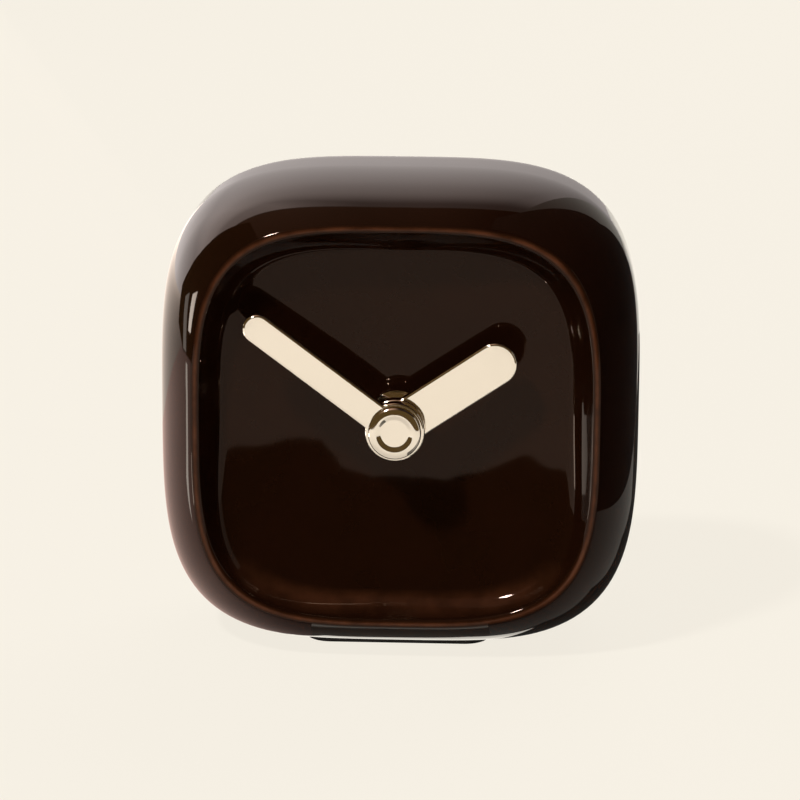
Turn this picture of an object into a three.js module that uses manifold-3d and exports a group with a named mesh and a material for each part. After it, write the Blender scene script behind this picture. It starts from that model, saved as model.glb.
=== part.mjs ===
// A desk clock: a glazed ceramic shell with a dished dial, a quartz movement clamped behind it and two brass
// bar hands. Millimetres, +Z up. The dial faces -Y, so +Y is towards the back. The origin lies under the
// middle of the base pad.
import * as THREE from "three";
import { mergeVertices } from "three/addons/utils/BufferGeometryUtils.js";
import Module from "manifold-3d";

const wasm = await Module();
wasm.setup();

// Ceramic shell: squircles stacked from front to back, rounded into the dial's rim and into the rear mouth.
const CASE_WIDTH = 100;
const CASE_HEIGHT = 100.8;
const CASE_DEPTH = 58.5; // from the crest of the rim to the rear lip
const CASE_ROUND = 38; // radius of the side profile, front and back
const OUTLINE_POWER = 3.72; // 2 is an ellipse, higher is squarer
const RIM_POWER = 3.5;
const CASE_WALL = 5.5;
const FOOT_CUT = 2.4; // depth of the flat ground under the shell
const CASE_POINTS = 56; // points round each squircle
// Steps along each stretch of the side profile, from the bore over the front and round to the cavity.
const CASE_STEPS = { dial: 5, cove: 4, crest: 2, front: 6, rear: 5, lip: 4, mouth: 4, cavity: 3 };

// Rim and dial.
const RIM_INSET = 9.1; // from the outer outline to the crest of the rim
const RIM_ROUND = 1.2;
const RIM_SLOPE = 60; // degrees, how steeply the dial side falls away from the crest
const MOUTH_REACH = 40; // degrees of the rear round before the mouth's lip
const COVE_WIDTH = 6; // from the crest to the edge of the dial floor
const COVE_FIRMNESS = 0.8; // 0 is a straight slope, 1 a sharp corner at the dial's edge
const DIAL_DEPTH = 9.6; // from the crest to the deepest point of the dial
const DISH_RADIUS = 200;
const DISH_LIFT = 4.3; // from the dial axis up to the deepest point of the dial
const DIAL_WALL = 5;
const SEAT_RADIUS = 15; // flat behind the dial, where the movement is clamped
const CAVITY_REACH = 28; // degrees of the front round that the cavity follows before it turns to the dial

// Base pad.
const PAD_WIDTH = 38;
const PAD_LENGTH = 32;
const PAD_CORNER = 5;
const PAD_THICKNESS = 1.4;

// Clearances.
const RUNNING_GAP = 0.3; // between pieces that turn on each other, and round the cell
const SEAT_GAP = 0.15; // round a piece that is pressed on
const AXIAL_GAP = 0.7; // between neighbouring levels of wheels

// Clamp through the dial, from the back to the front.
const BUSHING_RADIUS = 4;
const FLANGE_RADIUS = 6.5;
const FLANGE_THICKNESS = 1.5;
const BUSHING_END = 0.5; // stands out of the nut
const GASKET_RADIUS = 13;
const WASHER_RADIUS = 6.2;
const WASHER_THICKNESS = 0.6;
const NUT_SIDES = 6;
const NUT_FLATS = 10.6;
const NUT_THICKNESS = 2.3;

// Hands, their collars and the cap. Angles are degrees clockwise from twelve, at rest.
const HAND_THICKNESS = 2.4;
const HAND_BEVEL = 0.5;
const HUB_RADIUS = 6.1;
const HOUR_REACH = 28.85;
const HOUR_WIDTH = 8.9;
const HOUR_ANGLE = 55.8;
const MINUTE_REACH = 37.85;
const MINUTE_WIDTH = 6;
const MINUTE_ANGLE = 307.1;
const HOUR_COLLAR = 2.2;
const HOUR_COLLAR_RADIUS = 4;
const MINUTE_COLLAR = 0.4;
const MINUTE_COLLAR_RADIUS = 2.8;
const CAP_RADIUS = 5.4;
const CAP_THICKNESS = 1.6;
const CAP_CROWN = 0.8; // fall of the domed ring round the dish
const CAP_CROWN_STEPS = 4;
const CAP_LIP = 0.15; // flat between the dish and that ring
const CAP_DISH_RADIUS = 3.7;
const CAP_DISH_FLAT = 2.9; // radius of the dish's flat bottom
const CAP_DISH_DEPTH = 0.4;
const CAP_BORE_DEPTH = 0.8;
const MINUTE_TUBE_RADIUS = 1.5;
const MINUTE_TIP_RADIUS = 1;
const HOUR_TUBE_WALL = 0.6;
const TUBE_SETBACK = 0.8; // the hour tube stops this far behind the hour hand's face

// Cell and its contacts.
const CELL_LENGTH = 50.5;
const CELL_DIAMETER = 14.5;
const CELL_NUB_LENGTH = 1.2;
const CELL_NUB_DIAMETER = 5.5;
const CELL_EDGE = 0.6; // chamfer of the cell's rims
const CONTACT_ROOM = 1.55; // between the cell's end and the tray's wall
const CONTACT_THICKNESS = 0.4;
const CONTACT_WIDTH = 8;
const CONTACT_LENGTH = 11;

// Movement housing.
const TRAY_WALL = 1.2;
const TRAY_CORNER = 3;
const FRONT_PLATE = 1.5;
const DIVIDER = 0.8;
const COVER_THICKNESS = 1.5;
const BRIDGE_THICKNESS = 1;
const PIVOT_DEPTH = 0.9; // of the blind pivot holes in the front plate
const POST_RADIUS = 1.4;

// Wheel train: teeth, distances between centres, and the side of the dial axis that each arbor lies on.
const TEETH = {
  rotorPinion: 6,
  fifthWheel: 36,
  fifthPinion: 8,
  fourthWheel: 40,
  fourthPinion: 6,
  thirdWheel: 45,
  thirdPinion: 6,
  centerWheel: 48,
  cannonPinion: 10,
  minuteWorkWheel: 30,
  minuteWorkPinion: 8,
  hourWheel: 32,
};
const MOTION_CENTRES = 11.2; // dial axis to setting arbor
const THIRD_CENTRES = 10.8; // dial axis to third arbor
const FIFTH_CENTRES = 11.04; // dial axis to fifth arbor
const ROTOR_CENTRES = 8.82; // fifth arbor to rotor
const SETTING_SIDE = 90; // degrees anticlockwise from +X, seen from the front
const THIRD_SIDE = 30;
const FIFTH_SIDE = 150;
const ROTOR_SIDE = 120;
const MOTION_WHEEL = 1.2; // thickness of the motion-work wheels
const TRAIN_WHEEL = 0.9; // thickness of the other wheels
const PINION_OVERLAP = 0.2; // how far a pinion stands past its wheel, each way
const ARBOR_RADIUS = 0.6;
const SETTING_ARBOR_RADIUS = 0.8;
const CLUTCH_RADIUS = 1.15; // rear end of the minute arbor, inside the center wheel
const HUB_WALL = 1;
const ADDENDUM = 0.75; // of the module
const DEDENDUM = 1.1;
const WHEEL_TOOTH = { share: 0.4, root: 1.35, tip: 0.6 };
const PINION_TOOTH = { share: 0.36, root: 1, tip: 0.7 };

// Stepping motor and circuit.
const MAGNET_RADIUS = 3;
const MAGNET_LENGTH = 3.2;
const STATOR_GAP = 0.6; // round the magnet
const STATOR_THICKNESS = 1;
const STATOR_BRIDGE = 0.6; // narrow iron beside the magnet's hole
const STATOR_LEG = 3;
const STATOR_SETBACK = 2.8; // from the dial axis to the near leg
const COIL_LENGTH = 14;
const COIL_CORE = 2.5;
const COIL_CORE_THICKNESS = 0.9;
const BOBBIN_TUBE_RADIUS = 2.3;
const BOBBIN_FLANGE_RADIUS = 3.6;
const BOBBIN_FLANGE = 0.8;
const WINDING_RADIUS = 3.3;
const BOARD_WIDTH = 21;
const BOARD_HEIGHT = 7;
const BOARD_THICKNESS = 1;
const BOARD_SETBACK = 2; // in front of the cover's wall room, for the parts on the board
const CRYSTAL_LENGTH = 6;
const CRYSTAL_RADIUS = 0.8;
const CHIP_RADIUS = 2.6; // a drop of resin over the chip
const CHIP_HEIGHT = 1;
const CHIP_SHOULDER = { radius: 1.95, height: 0.7 };
const CRYSTAL_SIDES = 8;

// Setting knob.
const KNOB_RADIUS = 6.5;
const KNOB_HEIGHT = 3;
const KNOB_FLUTES = 18;
const KNOB_FLUTE_DEPTH = 0.5;

const ROUND_STEPS = 24; // sides of a large turned piece
const FINE_STEPS = 12; // sides of a small one
const CORNER_STEPS = 3; // sides of a plate's rounded corner
const radians = THREE.MathUtils.degToRad;

// Finishes.
const finish = (color, roughness, metalness = 0) =>
  new THREE.MeshStandardMaterial({ color, roughness, metalness });
const GLAZE = finish("#2a150c", 0.08);
const BRASS = finish("#e3d2a4", 0.15, 1);
const STEEL = finish("#b9bbbd", 0.3, 1);
const COPPER = finish("#b0673a", 0.4, 1);
const IRON = finish("#7d7f82", 0.5, 1);
const MAGNET = finish("#3c3d40", 0.5, 0.6);
const BLACK_PLASTIC = finish("#17171a", 0.55);
const WHITE_PLASTIC = finish("#e6e3da", 0.45);
const BOARD = finish("#8a6a34", 0.6);
const RUBBER = finish("#1c1917", 0.85);
const CELL_SLEEVE = finish("#3b4148", 0.35);

const clock = new THREE.Group();

function addPiece(parent, name, geometry, material) {
  const piece = new THREE.Mesh(geometry, material);
  piece.name = name;
  parent.add(piece);
  return piece;
}

// A closed geometry as a solid that can be joined and cut.
function solid(geometry) {
  const bare = new THREE.BufferGeometry();
  bare.setAttribute("position", geometry.getAttribute("position"));
  bare.setIndex(geometry.getIndex());
  const merged = mergeVertices(bare, 1e-4);
  return new wasm.Manifold(
    new wasm.Mesh({
      numProp: 3,
      vertProperties: merged.attributes.position.array,
      triVerts: new Uint32Array(merged.index.array),
    }),
  );
}

function geometryOf(made) {
  const { vertProperties, triVerts } = made.getMesh();
  return new THREE.BufferGeometry()
    .setAttribute("position", new THREE.BufferAttribute(vertProperties, 3))
    .setIndex(new THREE.BufferAttribute(triVerts, 1));
}

const joined = (...geometries) => geometryOf(geometries.map(solid).reduce((a, b) => a.add(b)));
const cut = (geometry, ...tools) =>
  geometryOf(tools.map(solid).reduce((a, b) => a.subtract(b), solid(geometry)));

// Turned about the Y axis. The profile's points are [radius, y], anticlockwise with the radius to the right.
function turned(profile, steps = ROUND_STEPS) {
  return new THREE.LatheGeometry([...profile, profile[0]].map(([r, y]) => new THREE.Vector2(r, y)), steps);
}

function ring(inner, outer, front, back, steps = ROUND_STEPS) {
  return turned([[inner, front], [outer, front], [outer, back], [inner, back]], steps);
}

function rod(radius, front, back, steps = FINE_STEPS) {
  return new THREE.CylinderGeometry(radius, radius, back - front, steps).translate(0, (front + back) / 2, 0);
}

// A shape drawn in the front view, with its y as height, as a plate from front to back.
function plate(shape, front, back, curveSegments = FINE_STEPS, bevel = 0) {
  return new THREE.ExtrudeGeometry(shape, {
    depth: back - front - 2 * bevel,
    bevelEnabled: bevel > 0,
    bevelThickness: bevel,
    bevelSize: bevel,
    bevelOffset: -bevel,
    bevelSegments: 1,
    curveSegments,
  })
    .rotateX(Math.PI / 2)
    .translate(0, back - bevel, 0);
}

function roundedRectangle(left, bottom, right, top, corner) {
  const shape = new THREE.Shape();
  shape.absarc(right - corner, bottom + corner, corner, -Math.PI / 2, 0);
  shape.absarc(right - corner, top - corner, corner, 0, Math.PI / 2);
  shape.absarc(left + corner, top - corner, corner, Math.PI / 2, Math.PI);
  shape.absarc(left + corner, bottom + corner, corner, Math.PI, 1.5 * Math.PI);
  return shape;
}

function roundedPlate(left, bottom, right, top, corner, front, back) {
  return plate(roundedRectangle(left, bottom, right, top, corner), front, back, CORNER_STEPS);
}

function block(left, bottom, right, top, front, back) {
  return new THREE.BoxGeometry(right - left, back - front, top - bottom).translate(
    (left + right) / 2,
    (front + back) / 2,
    (bottom + top) / 2,
  );
}

// Ceramic shell.
// The side profile is drawn as an inset from the outer outline against y, with y 0 at the crest of the rim.
const crestToRound = Math.sqrt((CASE_ROUND - RIM_ROUND) ** 2 - (CASE_ROUND - RIM_INSET) ** 2);
const frontRound = RIM_ROUND + crestToRound; // y where the front round meets the straight band
const lipRadius = CASE_WALL / 2;
const lipCentre = CASE_ROUND - lipRadius;
const mouthReach = radians(MOUTH_REACH);
const rearRound = CASE_DEPTH - lipRadius - lipCentre * Math.sin(mouthReach); // and where the rear one does
const crestY = -CASE_DEPTH / 2; // the shell's middle is above the origin
const dialY = crestY + DIAL_DEPTH;
const seatY = dialY + DIAL_WALL;
const axisZ = PAD_THICKNESS - FOOT_CUT + CASE_HEIGHT / 2;
const boreRadius = BUSHING_RADIUS + RUNNING_GAP;
const dialInset = RIM_INSET + COVE_WIDTH;
const innerRound = CASE_ROUND - CASE_WALL;

const dishY = (x, z) => dialY - (x ** 2 + (z - DISH_LIFT) ** 2) / (2 * DISH_RADIUS);

// One point of a squircle round the dial axis, cut off by the flat of the foot.
function squirclePoint(k, halfWidth, halfHeight, power, y) {
  const angle = (2 * Math.PI * k) / CASE_POINTS;
  const [c, s] = [Math.cos(angle), Math.sin(angle)];
  const r = ((Math.abs(c) / halfWidth) ** power + (Math.abs(s) / halfHeight) ** power) ** (-1 / power);
  return new THREE.Vector3(r * c, y, Math.max(r * s, FOOT_CUT - CASE_HEIGHT / 2));
}

const around = (point) => Array.from({ length: CASE_POINTS }, (_, k) => point(k));

// The outline softens a little from the outside towards the rim.
function insetPoint(k, inset, y) {
  const power = THREE.MathUtils.lerp(OUTLINE_POWER, RIM_POWER, Math.min(1, inset / RIM_INSET));
  return squirclePoint(k, CASE_WIDTH / 2 - inset, CASE_HEIGHT / 2 - inset, power, y);
}

// Rings along an arc of the side profile: angle 0 faces the side, a quarter turn faces the front or the back.
function arcRings(inset, y, radius, from, to, steps, towards) {
  return Array.from({ length: steps + 1 }, (_, i) => {
    const angle = from + ((to - from) * i) / steps;
    const [out, along] = [radius * Math.cos(angle), towards * radius * Math.sin(angle)];
    return around((k) => insetPoint(k, inset - out, y + along));
  });
}

// Rings of the dial: circles at the bore that grow into the squircle of its edge, share 0 to 1.
function dialRing(share, level) {
  const halfWidth = THREE.MathUtils.lerp(boreRadius, CASE_WIDTH / 2 - dialInset, share);
  const halfHeight = THREE.MathUtils.lerp(boreRadius, CASE_HEIGHT / 2 - dialInset, share);
  const power = THREE.MathUtils.lerp(2, RIM_POWER, share);
  return around((k) => {
    const point = squirclePoint(k, halfWidth, halfHeight, power, 0);
    return point.setY(level(point.x, point.z));
  });
}

// The hollow curve from the edge of the dial floor up to the dial side of the rim's crest.
function coveRings(steps) {
  const slope = radians(RIM_SLOPE);
  const down = new THREE.Vector2(Math.cos(slope), Math.sin(slope));
  const crest = new THREE.Vector2(RIM_INSET + RIM_ROUND * down.y, crestY + RIM_ROUND * (1 - down.x));
  const curves = dialRing(1, dishY).map(({ x, y, z }) => {
    const edge = new THREE.Vector2(dialInset, y);
    const offset = (x ** 2 + z * (z - DISH_LIFT)) / Math.hypot(x, z); // from the deepest point, outwards
    const out = new THREE.Vector2(-DISH_RADIUS, -offset).normalize();
    const reach = edge.clone().sub(crest).cross(out) / down.cross(out);
    const corner = crest.clone().addScaledVector(down, reach); // where the two slopes would meet
    return new THREE.CubicBezierCurve(
      edge,
      edge.clone().lerp(corner, COVE_FIRMNESS),
      crest.clone().lerp(corner, COVE_FIRMNESS),
      crest,
    );
  });
  return Array.from({ length: steps - 1 }, (_, i) =>
    around((k) => {
      const { x, y } = curves[k].getPoint((i + 1) / steps);
      return insetPoint(k, x, y);
    }),
  );
}

function caseBody() {
  const crestStart = Math.PI / 2 + radians(RIM_SLOPE);
  const crestEnd = Math.atan2(crestToRound, CASE_ROUND - RIM_INSET);
  const crestRings = (from, to) =>
    arcRings(RIM_INSET, crestY + RIM_ROUND, RIM_ROUND, from, to, CASE_STEPS.crest, -1);
  const [frontY, rearY] = [crestY + frontRound, crestY + rearRound];
  const dialShares = Array.from({ length: CASE_STEPS.dial + 1 }, (_, k) => k / CASE_STEPS.dial);
  const seatShare = (SEAT_RADIUS - boreRadius) / (CASE_WIDTH / 2 - dialInset - boreRadius);
  const rings = [
    ...dialShares.map((share) => dialRing(share, dishY)),
    ...coveRings(CASE_STEPS.cove),
    ...crestRings(crestStart, Math.PI / 2),
    ...crestRings(Math.PI / 2, crestEnd).slice(1),
    ...arcRings(CASE_ROUND, frontY, CASE_ROUND, crestEnd, 0, CASE_STEPS.front, -1).slice(1),
    ...arcRings(CASE_ROUND, rearY, CASE_ROUND, 0, mouthReach, CASE_STEPS.rear, 1),
    ...arcRings(
      CASE_ROUND - lipCentre * Math.cos(mouthReach),
      rearY + lipCentre * Math.sin(mouthReach),
      lipRadius,
      mouthReach,
      mouthReach + Math.PI,
      CASE_STEPS.lip,
      1,
    ).slice(1),
    ...arcRings(CASE_ROUND, rearY, innerRound, mouthReach, 0, CASE_STEPS.mouth, 1).slice(1),
    ...arcRings(CASE_ROUND, frontY, innerRound, 0, radians(CAVITY_REACH), CASE_STEPS.cavity, -1),
    dialRing(1, (x, z) => dishY(x, z) + DIAL_WALL),
    dialRing(seatShare, () => seatY),
    dialRing(0, () => seatY),
  ];
  return closedRings(rings);
}

// A closed skin through rings of points, with the last ring joined to the first.
function closedRings(rings) {
  const count = rings[0].length;
  const index = [];
  rings.forEach((_, i) => {
    const [here, next] = [i * count, ((i + 1) % rings.length) * count];
    for (let k = 0; k < count; k++) {
      const after = (k + 1) % count;
      index.push(here + k, next + k, next + after, here + k, next + after, here + after);
    }
  });
  return new THREE.BufferGeometry().setFromPoints(rings.flat()).setIndex(index);
}

addPiece(clock, "case_body", caseBody(), GLAZE).position.z = axisZ;

addPiece(
  clock,
  "base_pad",
  new THREE.ExtrudeGeometry(
    roundedRectangle(-PAD_WIDTH / 2, -PAD_LENGTH / 2, PAD_WIDTH / 2, PAD_LENGTH / 2, PAD_CORNER),
    { depth: PAD_THICKNESS, bevelEnabled: false, curveSegments: 2 * CORNER_STEPS },
  ),
  RUBBER,
);

// Everything on the dial axis hangs in this group: y 0 is the middle of the dial floor.
const axis = new THREE.Group();
axis.position.set(0, dialY, axisZ);
clock.add(axis);

// Levels of the clamp and the hands, from the dial towards the front.
const washerBack = dishY(0, -WASHER_RADIUS) - dialY - SEAT_GAP; // its lower edge bears on the dial
const nutBack = washerBack - WASHER_THICKNESS;
const nutFront = nutBack - NUT_THICKNESS;
const bushingFront = nutFront - BUSHING_END;
const hourCollarBack = bushingFront - RUNNING_GAP;
const hourBack = hourCollarBack - HOUR_COLLAR;
const hourFront = hourBack - HAND_THICKNESS;
const minuteCollarBack = hourFront - RUNNING_GAP;
const minuteBack = minuteCollarBack - MINUTE_COLLAR;
const minuteFront = minuteBack - HAND_THICKNESS;
const capFront = minuteFront - CAP_THICKNESS;
const hourTubeInner = MINUTE_TUBE_RADIUS + RUNNING_GAP;
const hourTubeOuter = hourTubeInner + HOUR_TUBE_WALL;
const bushingBore = hourTubeOuter + RUNNING_GAP;
const seatBack = DIAL_WALL; // behind the dial, where the gasket lies
const movementFront = seatBack + FLANGE_THICKNESS;

addPiece(axis, "gasket", ring(FLANGE_RADIUS + RUNNING_GAP, GASKET_RADIUS, seatBack, movementFront), RUBBER);
addPiece(
  axis,
  "threaded_bushing",
  turned([
    [bushingBore, bushingFront],
    [BUSHING_RADIUS, bushingFront],
    [BUSHING_RADIUS, seatBack],
    [FLANGE_RADIUS, seatBack],
    [FLANGE_RADIUS, movementFront],
    [bushingBore, movementFront],
  ]),
  BRASS,
);
addPiece(axis, "dial_washer", ring(boreRadius, WASHER_RADIUS, nutBack, washerBack), BRASS);

function fixingNut() {
  const hexagon = new THREE.Shape();
  const corner = NUT_FLATS / 2 / Math.cos(Math.PI / NUT_SIDES);
  const corners = Array.from({ length: NUT_SIDES }, (_, k) => (2 * Math.PI * k) / NUT_SIDES);
  hexagon.setFromPoints(corners.map((a) => new THREE.Vector2(corner * Math.cos(a), corner * Math.sin(a))));
  hexagon.holes.push(new THREE.Path().absarc(0, 0, boreRadius, 0, 2 * Math.PI, true));
  return plate(hexagon, nutFront, nutBack);
}
addPiece(axis, "fixing_nut", fixingNut(), BRASS);

// A bar with a round end, straight sides and a round hub with a bore.
function barHand(reach, width, bore, front, back) {
  const half = width / 2;
  const meet = Math.acos(half / HUB_RADIUS);
  const shape = new THREE.Shape();
  shape.absarc(0, reach - half, half, 0, Math.PI);
  shape.absarc(0, 0, HUB_RADIUS, Math.PI - meet, 2 * Math.PI + meet);
  shape.holes.push(new THREE.Path().absarc(0, 0, bore, 0, 2 * Math.PI, true));
  return plate(shape, front, back, FINE_STEPS, HAND_BEVEL);
}

const hourBore = hourTubeOuter + SEAT_GAP;
addPiece(axis, "hour_hand_bush", ring(hourBore, HOUR_COLLAR_RADIUS, hourBack, hourCollarBack), BRASS);
const hourHand = barHand(HOUR_REACH, HOUR_WIDTH, hourBore, hourFront, hourBack);
addPiece(axis, "hour_hand", hourHand, BRASS).rotation.y = radians(HOUR_ANGLE);

const minuteBore = MINUTE_TIP_RADIUS + SEAT_GAP;
const collarBore = MINUTE_TUBE_RADIUS + SEAT_GAP;
const minuteCollar = ring(collarBore, MINUTE_COLLAR_RADIUS, minuteBack, minuteCollarBack);
const minuteHand = barHand(MINUTE_REACH, MINUTE_WIDTH, minuteBore, minuteFront, minuteBack);
addPiece(axis, "minute_hand_bush", minuteCollar, BRASS);
addPiece(axis, "minute_hand", minuteHand, BRASS).rotation.y = radians(MINUTE_ANGLE);

function handCap() {
  const dish = [
    [0, capFront + CAP_DISH_DEPTH],
    [CAP_DISH_FLAT, capFront + CAP_DISH_DEPTH],
    [CAP_DISH_RADIUS, capFront],
  ];
  const lip = CAP_DISH_RADIUS + CAP_LIP;
  const crown = Array.from({ length: CAP_CROWN_STEPS + 1 }, (_, k) => {
    const angle = (k * Math.PI) / 2 / CAP_CROWN_STEPS;
    return [lip + (CAP_RADIUS - lip) * Math.sin(angle), capFront + CAP_CROWN * (1 - Math.cos(angle))];
  });
  const bore = [
    [CAP_RADIUS, minuteFront],
    [minuteBore, minuteFront],
    [minuteBore, minuteFront - CAP_BORE_DEPTH],
    [0, minuteFront - CAP_BORE_DEPTH],
  ];
  return turned([...dish, ...crown, ...bore]);
}
addPiece(axis, "hand_cap", handCap(), BRASS);

// Levels of the movement, from its front face towards the back.
const movement = new THREE.Group();
movement.position.y = movementFront;
axis.add(movement);

const plateBack = FRONT_PLATE;
const hourLevel = [plateBack + AXIAL_GAP, plateBack + AXIAL_GAP + MOTION_WHEEL];
const minuteLevel = [hourLevel[1] + AXIAL_GAP, hourLevel[1] + AXIAL_GAP + MOTION_WHEEL];
const behind = (level) => [level[1] + AXIAL_GAP, level[1] + AXIAL_GAP + TRAIN_WHEEL];
const centerLevel = behind(minuteLevel);
const thirdLevel = behind(centerLevel);
const fourthLevel = behind(thirdLevel);
const fifthLevel = behind(fourthLevel);
const bridgeFront = fifthLevel[1] + AXIAL_GAP;
const bridgeBack = bridgeFront + BRIDGE_THICKNESS;
const trayBack = bridgeBack + AXIAL_GAP;
const coverBack = trayBack + COVER_THICKNESS;
const pivotFront = plateBack - PIVOT_DEPTH + SEAT_GAP;
const pivotBack = bridgeBack - SEAT_GAP;

const gearModule = (centres, a, b) => (2 * centres) / (a + b);
const modules = {
  rotor: gearModule(ROTOR_CENTRES, TEETH.rotorPinion, TEETH.fifthWheel),
  fifth: gearModule(FIFTH_CENTRES, TEETH.fifthPinion, TEETH.fourthWheel),
  fourth: gearModule(THIRD_CENTRES, TEETH.fourthPinion, TEETH.thirdWheel),
  third: gearModule(THIRD_CENTRES, TEETH.thirdPinion, TEETH.centerWheel),
  minute: gearModule(MOTION_CENTRES, TEETH.cannonPinion, TEETH.minuteWorkWheel),
  hour: gearModule(MOTION_CENTRES, TEETH.minuteWorkPinion, TEETH.hourWheel),
};
const tipRadius = (teeth, module) => (teeth / 2 + ADDENDUM) * module;

const polar = (distance, degrees) =>
  new THREE.Vector2(distance * Math.cos(radians(degrees)), distance * Math.sin(radians(degrees)));
const settingAt = polar(MOTION_CENTRES, SETTING_SIDE);
const thirdAt = polar(THIRD_CENTRES, THIRD_SIDE);
const fifthAt = polar(FIFTH_CENTRES, FIFTH_SIDE);
const rotorAt = polar(ROTOR_CENTRES, ROTOR_SIDE).add(fifthAt);

// A toothed plate. Tooth 0 points at the given angle, in degrees anticlockwise from +X in the front view.
function gear(teeth, module, tooth, angle, level, bore = 0) {
  const pitch = (teeth * module) / 2;
  const [root, tip] = [pitch - DEDENDUM * module, pitch + ADDENDUM * module];
  const half = (tooth.share * Math.PI) / teeth;
  const corners = [
    [root, -half * tooth.root],
    [tip, -half * tooth.tip],
    [tip, half * tooth.tip],
    [root, half * tooth.root],
  ];
  const middles = Array.from({ length: teeth }, (_, k) => radians(angle) + (2 * Math.PI * k) / teeth);
  const points = middles.flatMap((mid) =>
    corners.map(([r, off]) => new THREE.Vector2(r * Math.cos(mid + off), r * Math.sin(mid + off))),
  );
  const shape = new THREE.Shape(points);
  if (bore > 0) shape.holes.push(new THREE.Path().absarc(0, 0, bore, 0, 2 * Math.PI, true));
  return plate(shape, level[0], level[1]);
}

const wheel = (teeth, module, angle, level, bore) => gear(teeth, module, WHEEL_TOOTH, angle, level, bore);
const pinion = (teeth, module, angle, level, bore) =>
  gear(teeth, module, PINION_TOOTH, angle, [level[0] - PINION_OVERLAP, level[1] + PINION_OVERLAP], bore);

// The angle that puts a gear in mesh with one that stands at the given angle, on that side of it.
const inMesh = (drivenTeeth, driverTeeth, driverAngle, side) =>
  side + 180 - (driverTeeth / drivenTeeth) * (driverAngle - side) - 180 / drivenTeeth;

const hourWheelAngle = 0;
const minuteWorkPinionAngle = inMesh(TEETH.minuteWorkPinion, TEETH.hourWheel, hourWheelAngle, SETTING_SIDE);
const cannonAngle = 0;
const minuteWorkAngle = inMesh(TEETH.minuteWorkWheel, TEETH.cannonPinion, cannonAngle, SETTING_SIDE);
const centerAngle = 0;
const thirdPinionAngle = inMesh(TEETH.thirdPinion, TEETH.centerWheel, centerAngle, THIRD_SIDE);
const fourthPinionAngle = 0;
const thirdAngle = inMesh(TEETH.thirdWheel, TEETH.fourthPinion, fourthPinionAngle, THIRD_SIDE);
const fourthAngle = 0;
const fifthPinionAngle = inMesh(TEETH.fifthPinion, TEETH.fourthWheel, fourthAngle, FIFTH_SIDE);
const fifthAngle = 0;
const rotorAngle = inMesh(TEETH.rotorPinion, TEETH.fifthWheel, fifthAngle, ROTOR_SIDE);

function addOnArbor(name, at, geometry, material) {
  addPiece(movement, name, geometry, material).position.set(at.x, 0, at.y);
}

// Motion work, from the dial axis to the setting arbor and back.
const DIAL_AXIS = new THREE.Vector2(0, 0);
const hourTubeFront = hourFront + TUBE_SETBACK - movementFront;
addOnArbor(
  "hour_wheel",
  DIAL_AXIS,
  joined(
    wheel(TEETH.hourWheel, modules.hour, hourWheelAngle, hourLevel, hourTubeInner),
    ring(hourTubeInner, hourTubeOuter, hourTubeFront, hourLevel[1]),
  ),
  WHITE_PLASTIC,
);

const capBoreEnd = minuteFront - CAP_BORE_DEPTH + SEAT_GAP - movementFront;
const clutchBack = centerLevel[1] + PINION_OVERLAP;
const seatInClutch = ARBOR_RADIUS + RUNNING_GAP / 2;
addOnArbor(
  "minute_arbor",
  DIAL_AXIS,
  cut(
    joined(
      rod(MINUTE_TIP_RADIUS, capBoreEnd, minuteBack - movementFront),
      rod(MINUTE_TUBE_RADIUS, minuteBack - movementFront, minuteLevel[1], ROUND_STEPS),
      pinion(TEETH.cannonPinion, modules.minute, cannonAngle, minuteLevel),
      rod(CLUTCH_RADIUS, minuteLevel[1], clutchBack, ROUND_STEPS),
    ),
    rod(seatInClutch, minuteLevel[1], clutchBack + AXIAL_GAP),
  ),
  STEEL,
);

const knobFront = coverBack + RUNNING_GAP;
const knobBack = knobFront + KNOB_HEIGHT;
const knobSocket = knobFront + KNOB_HEIGHT / 2;
addOnArbor(
  "minute_work_wheel",
  settingAt,
  joined(
    wheel(TEETH.minuteWorkWheel, modules.minute, minuteWorkAngle, minuteLevel),
    pinion(TEETH.minuteWorkPinion, modules.hour, minuteWorkPinionAngle, hourLevel),
    rod(SETTING_ARBOR_RADIUS, pivotFront, knobSocket - SEAT_GAP),
  ),
  WHITE_PLASTIC,
);

function settingKnob() {
  const flutes = Array.from({ length: 2 * KNOB_FLUTES }, (_, k) => {
    const angle = (k * Math.PI) / KNOB_FLUTES;
    const r = KNOB_RADIUS - (k % 2) * KNOB_FLUTE_DEPTH;
    return new THREE.Vector2(r * Math.cos(angle), r * Math.sin(angle));
  });
  return cut(
    plate(new THREE.Shape(flutes), knobFront, knobBack),
    rod(SETTING_ARBOR_RADIUS + SEAT_GAP, knobFront - AXIAL_GAP, knobSocket),
  );
}
addOnArbor("setting_knob", settingAt, settingKnob(), BLACK_PLASTIC);

// Going train, from the center wheel back to the rotor.
const clutchBore = CLUTCH_RADIUS + SEAT_GAP;
addOnArbor(
  "center_wheel",
  DIAL_AXIS,
  joined(
    wheel(TEETH.centerWheel, modules.third, centerAngle, centerLevel, clutchBore),
    ring(clutchBore, clutchBore + HUB_WALL, centerLevel[0] - PINION_OVERLAP, clutchBack),
  ),
  WHITE_PLASTIC,
);
addOnArbor(
  "third_wheel",
  thirdAt,
  joined(
    wheel(TEETH.thirdWheel, modules.fourth, thirdAngle, thirdLevel),
    pinion(TEETH.thirdPinion, modules.third, thirdPinionAngle, centerLevel),
    rod(ARBOR_RADIUS, pivotFront, pivotBack),
  ),
  WHITE_PLASTIC,
);
addOnArbor(
  "fourth_wheel",
  DIAL_AXIS,
  joined(
    wheel(TEETH.fourthWheel, modules.fifth, fourthAngle, fourthLevel),
    pinion(TEETH.fourthPinion, modules.fourth, fourthPinionAngle, thirdLevel),
    rod(ARBOR_RADIUS, minuteLevel[1] + RUNNING_GAP, pivotBack),
  ),
  WHITE_PLASTIC,
);
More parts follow.
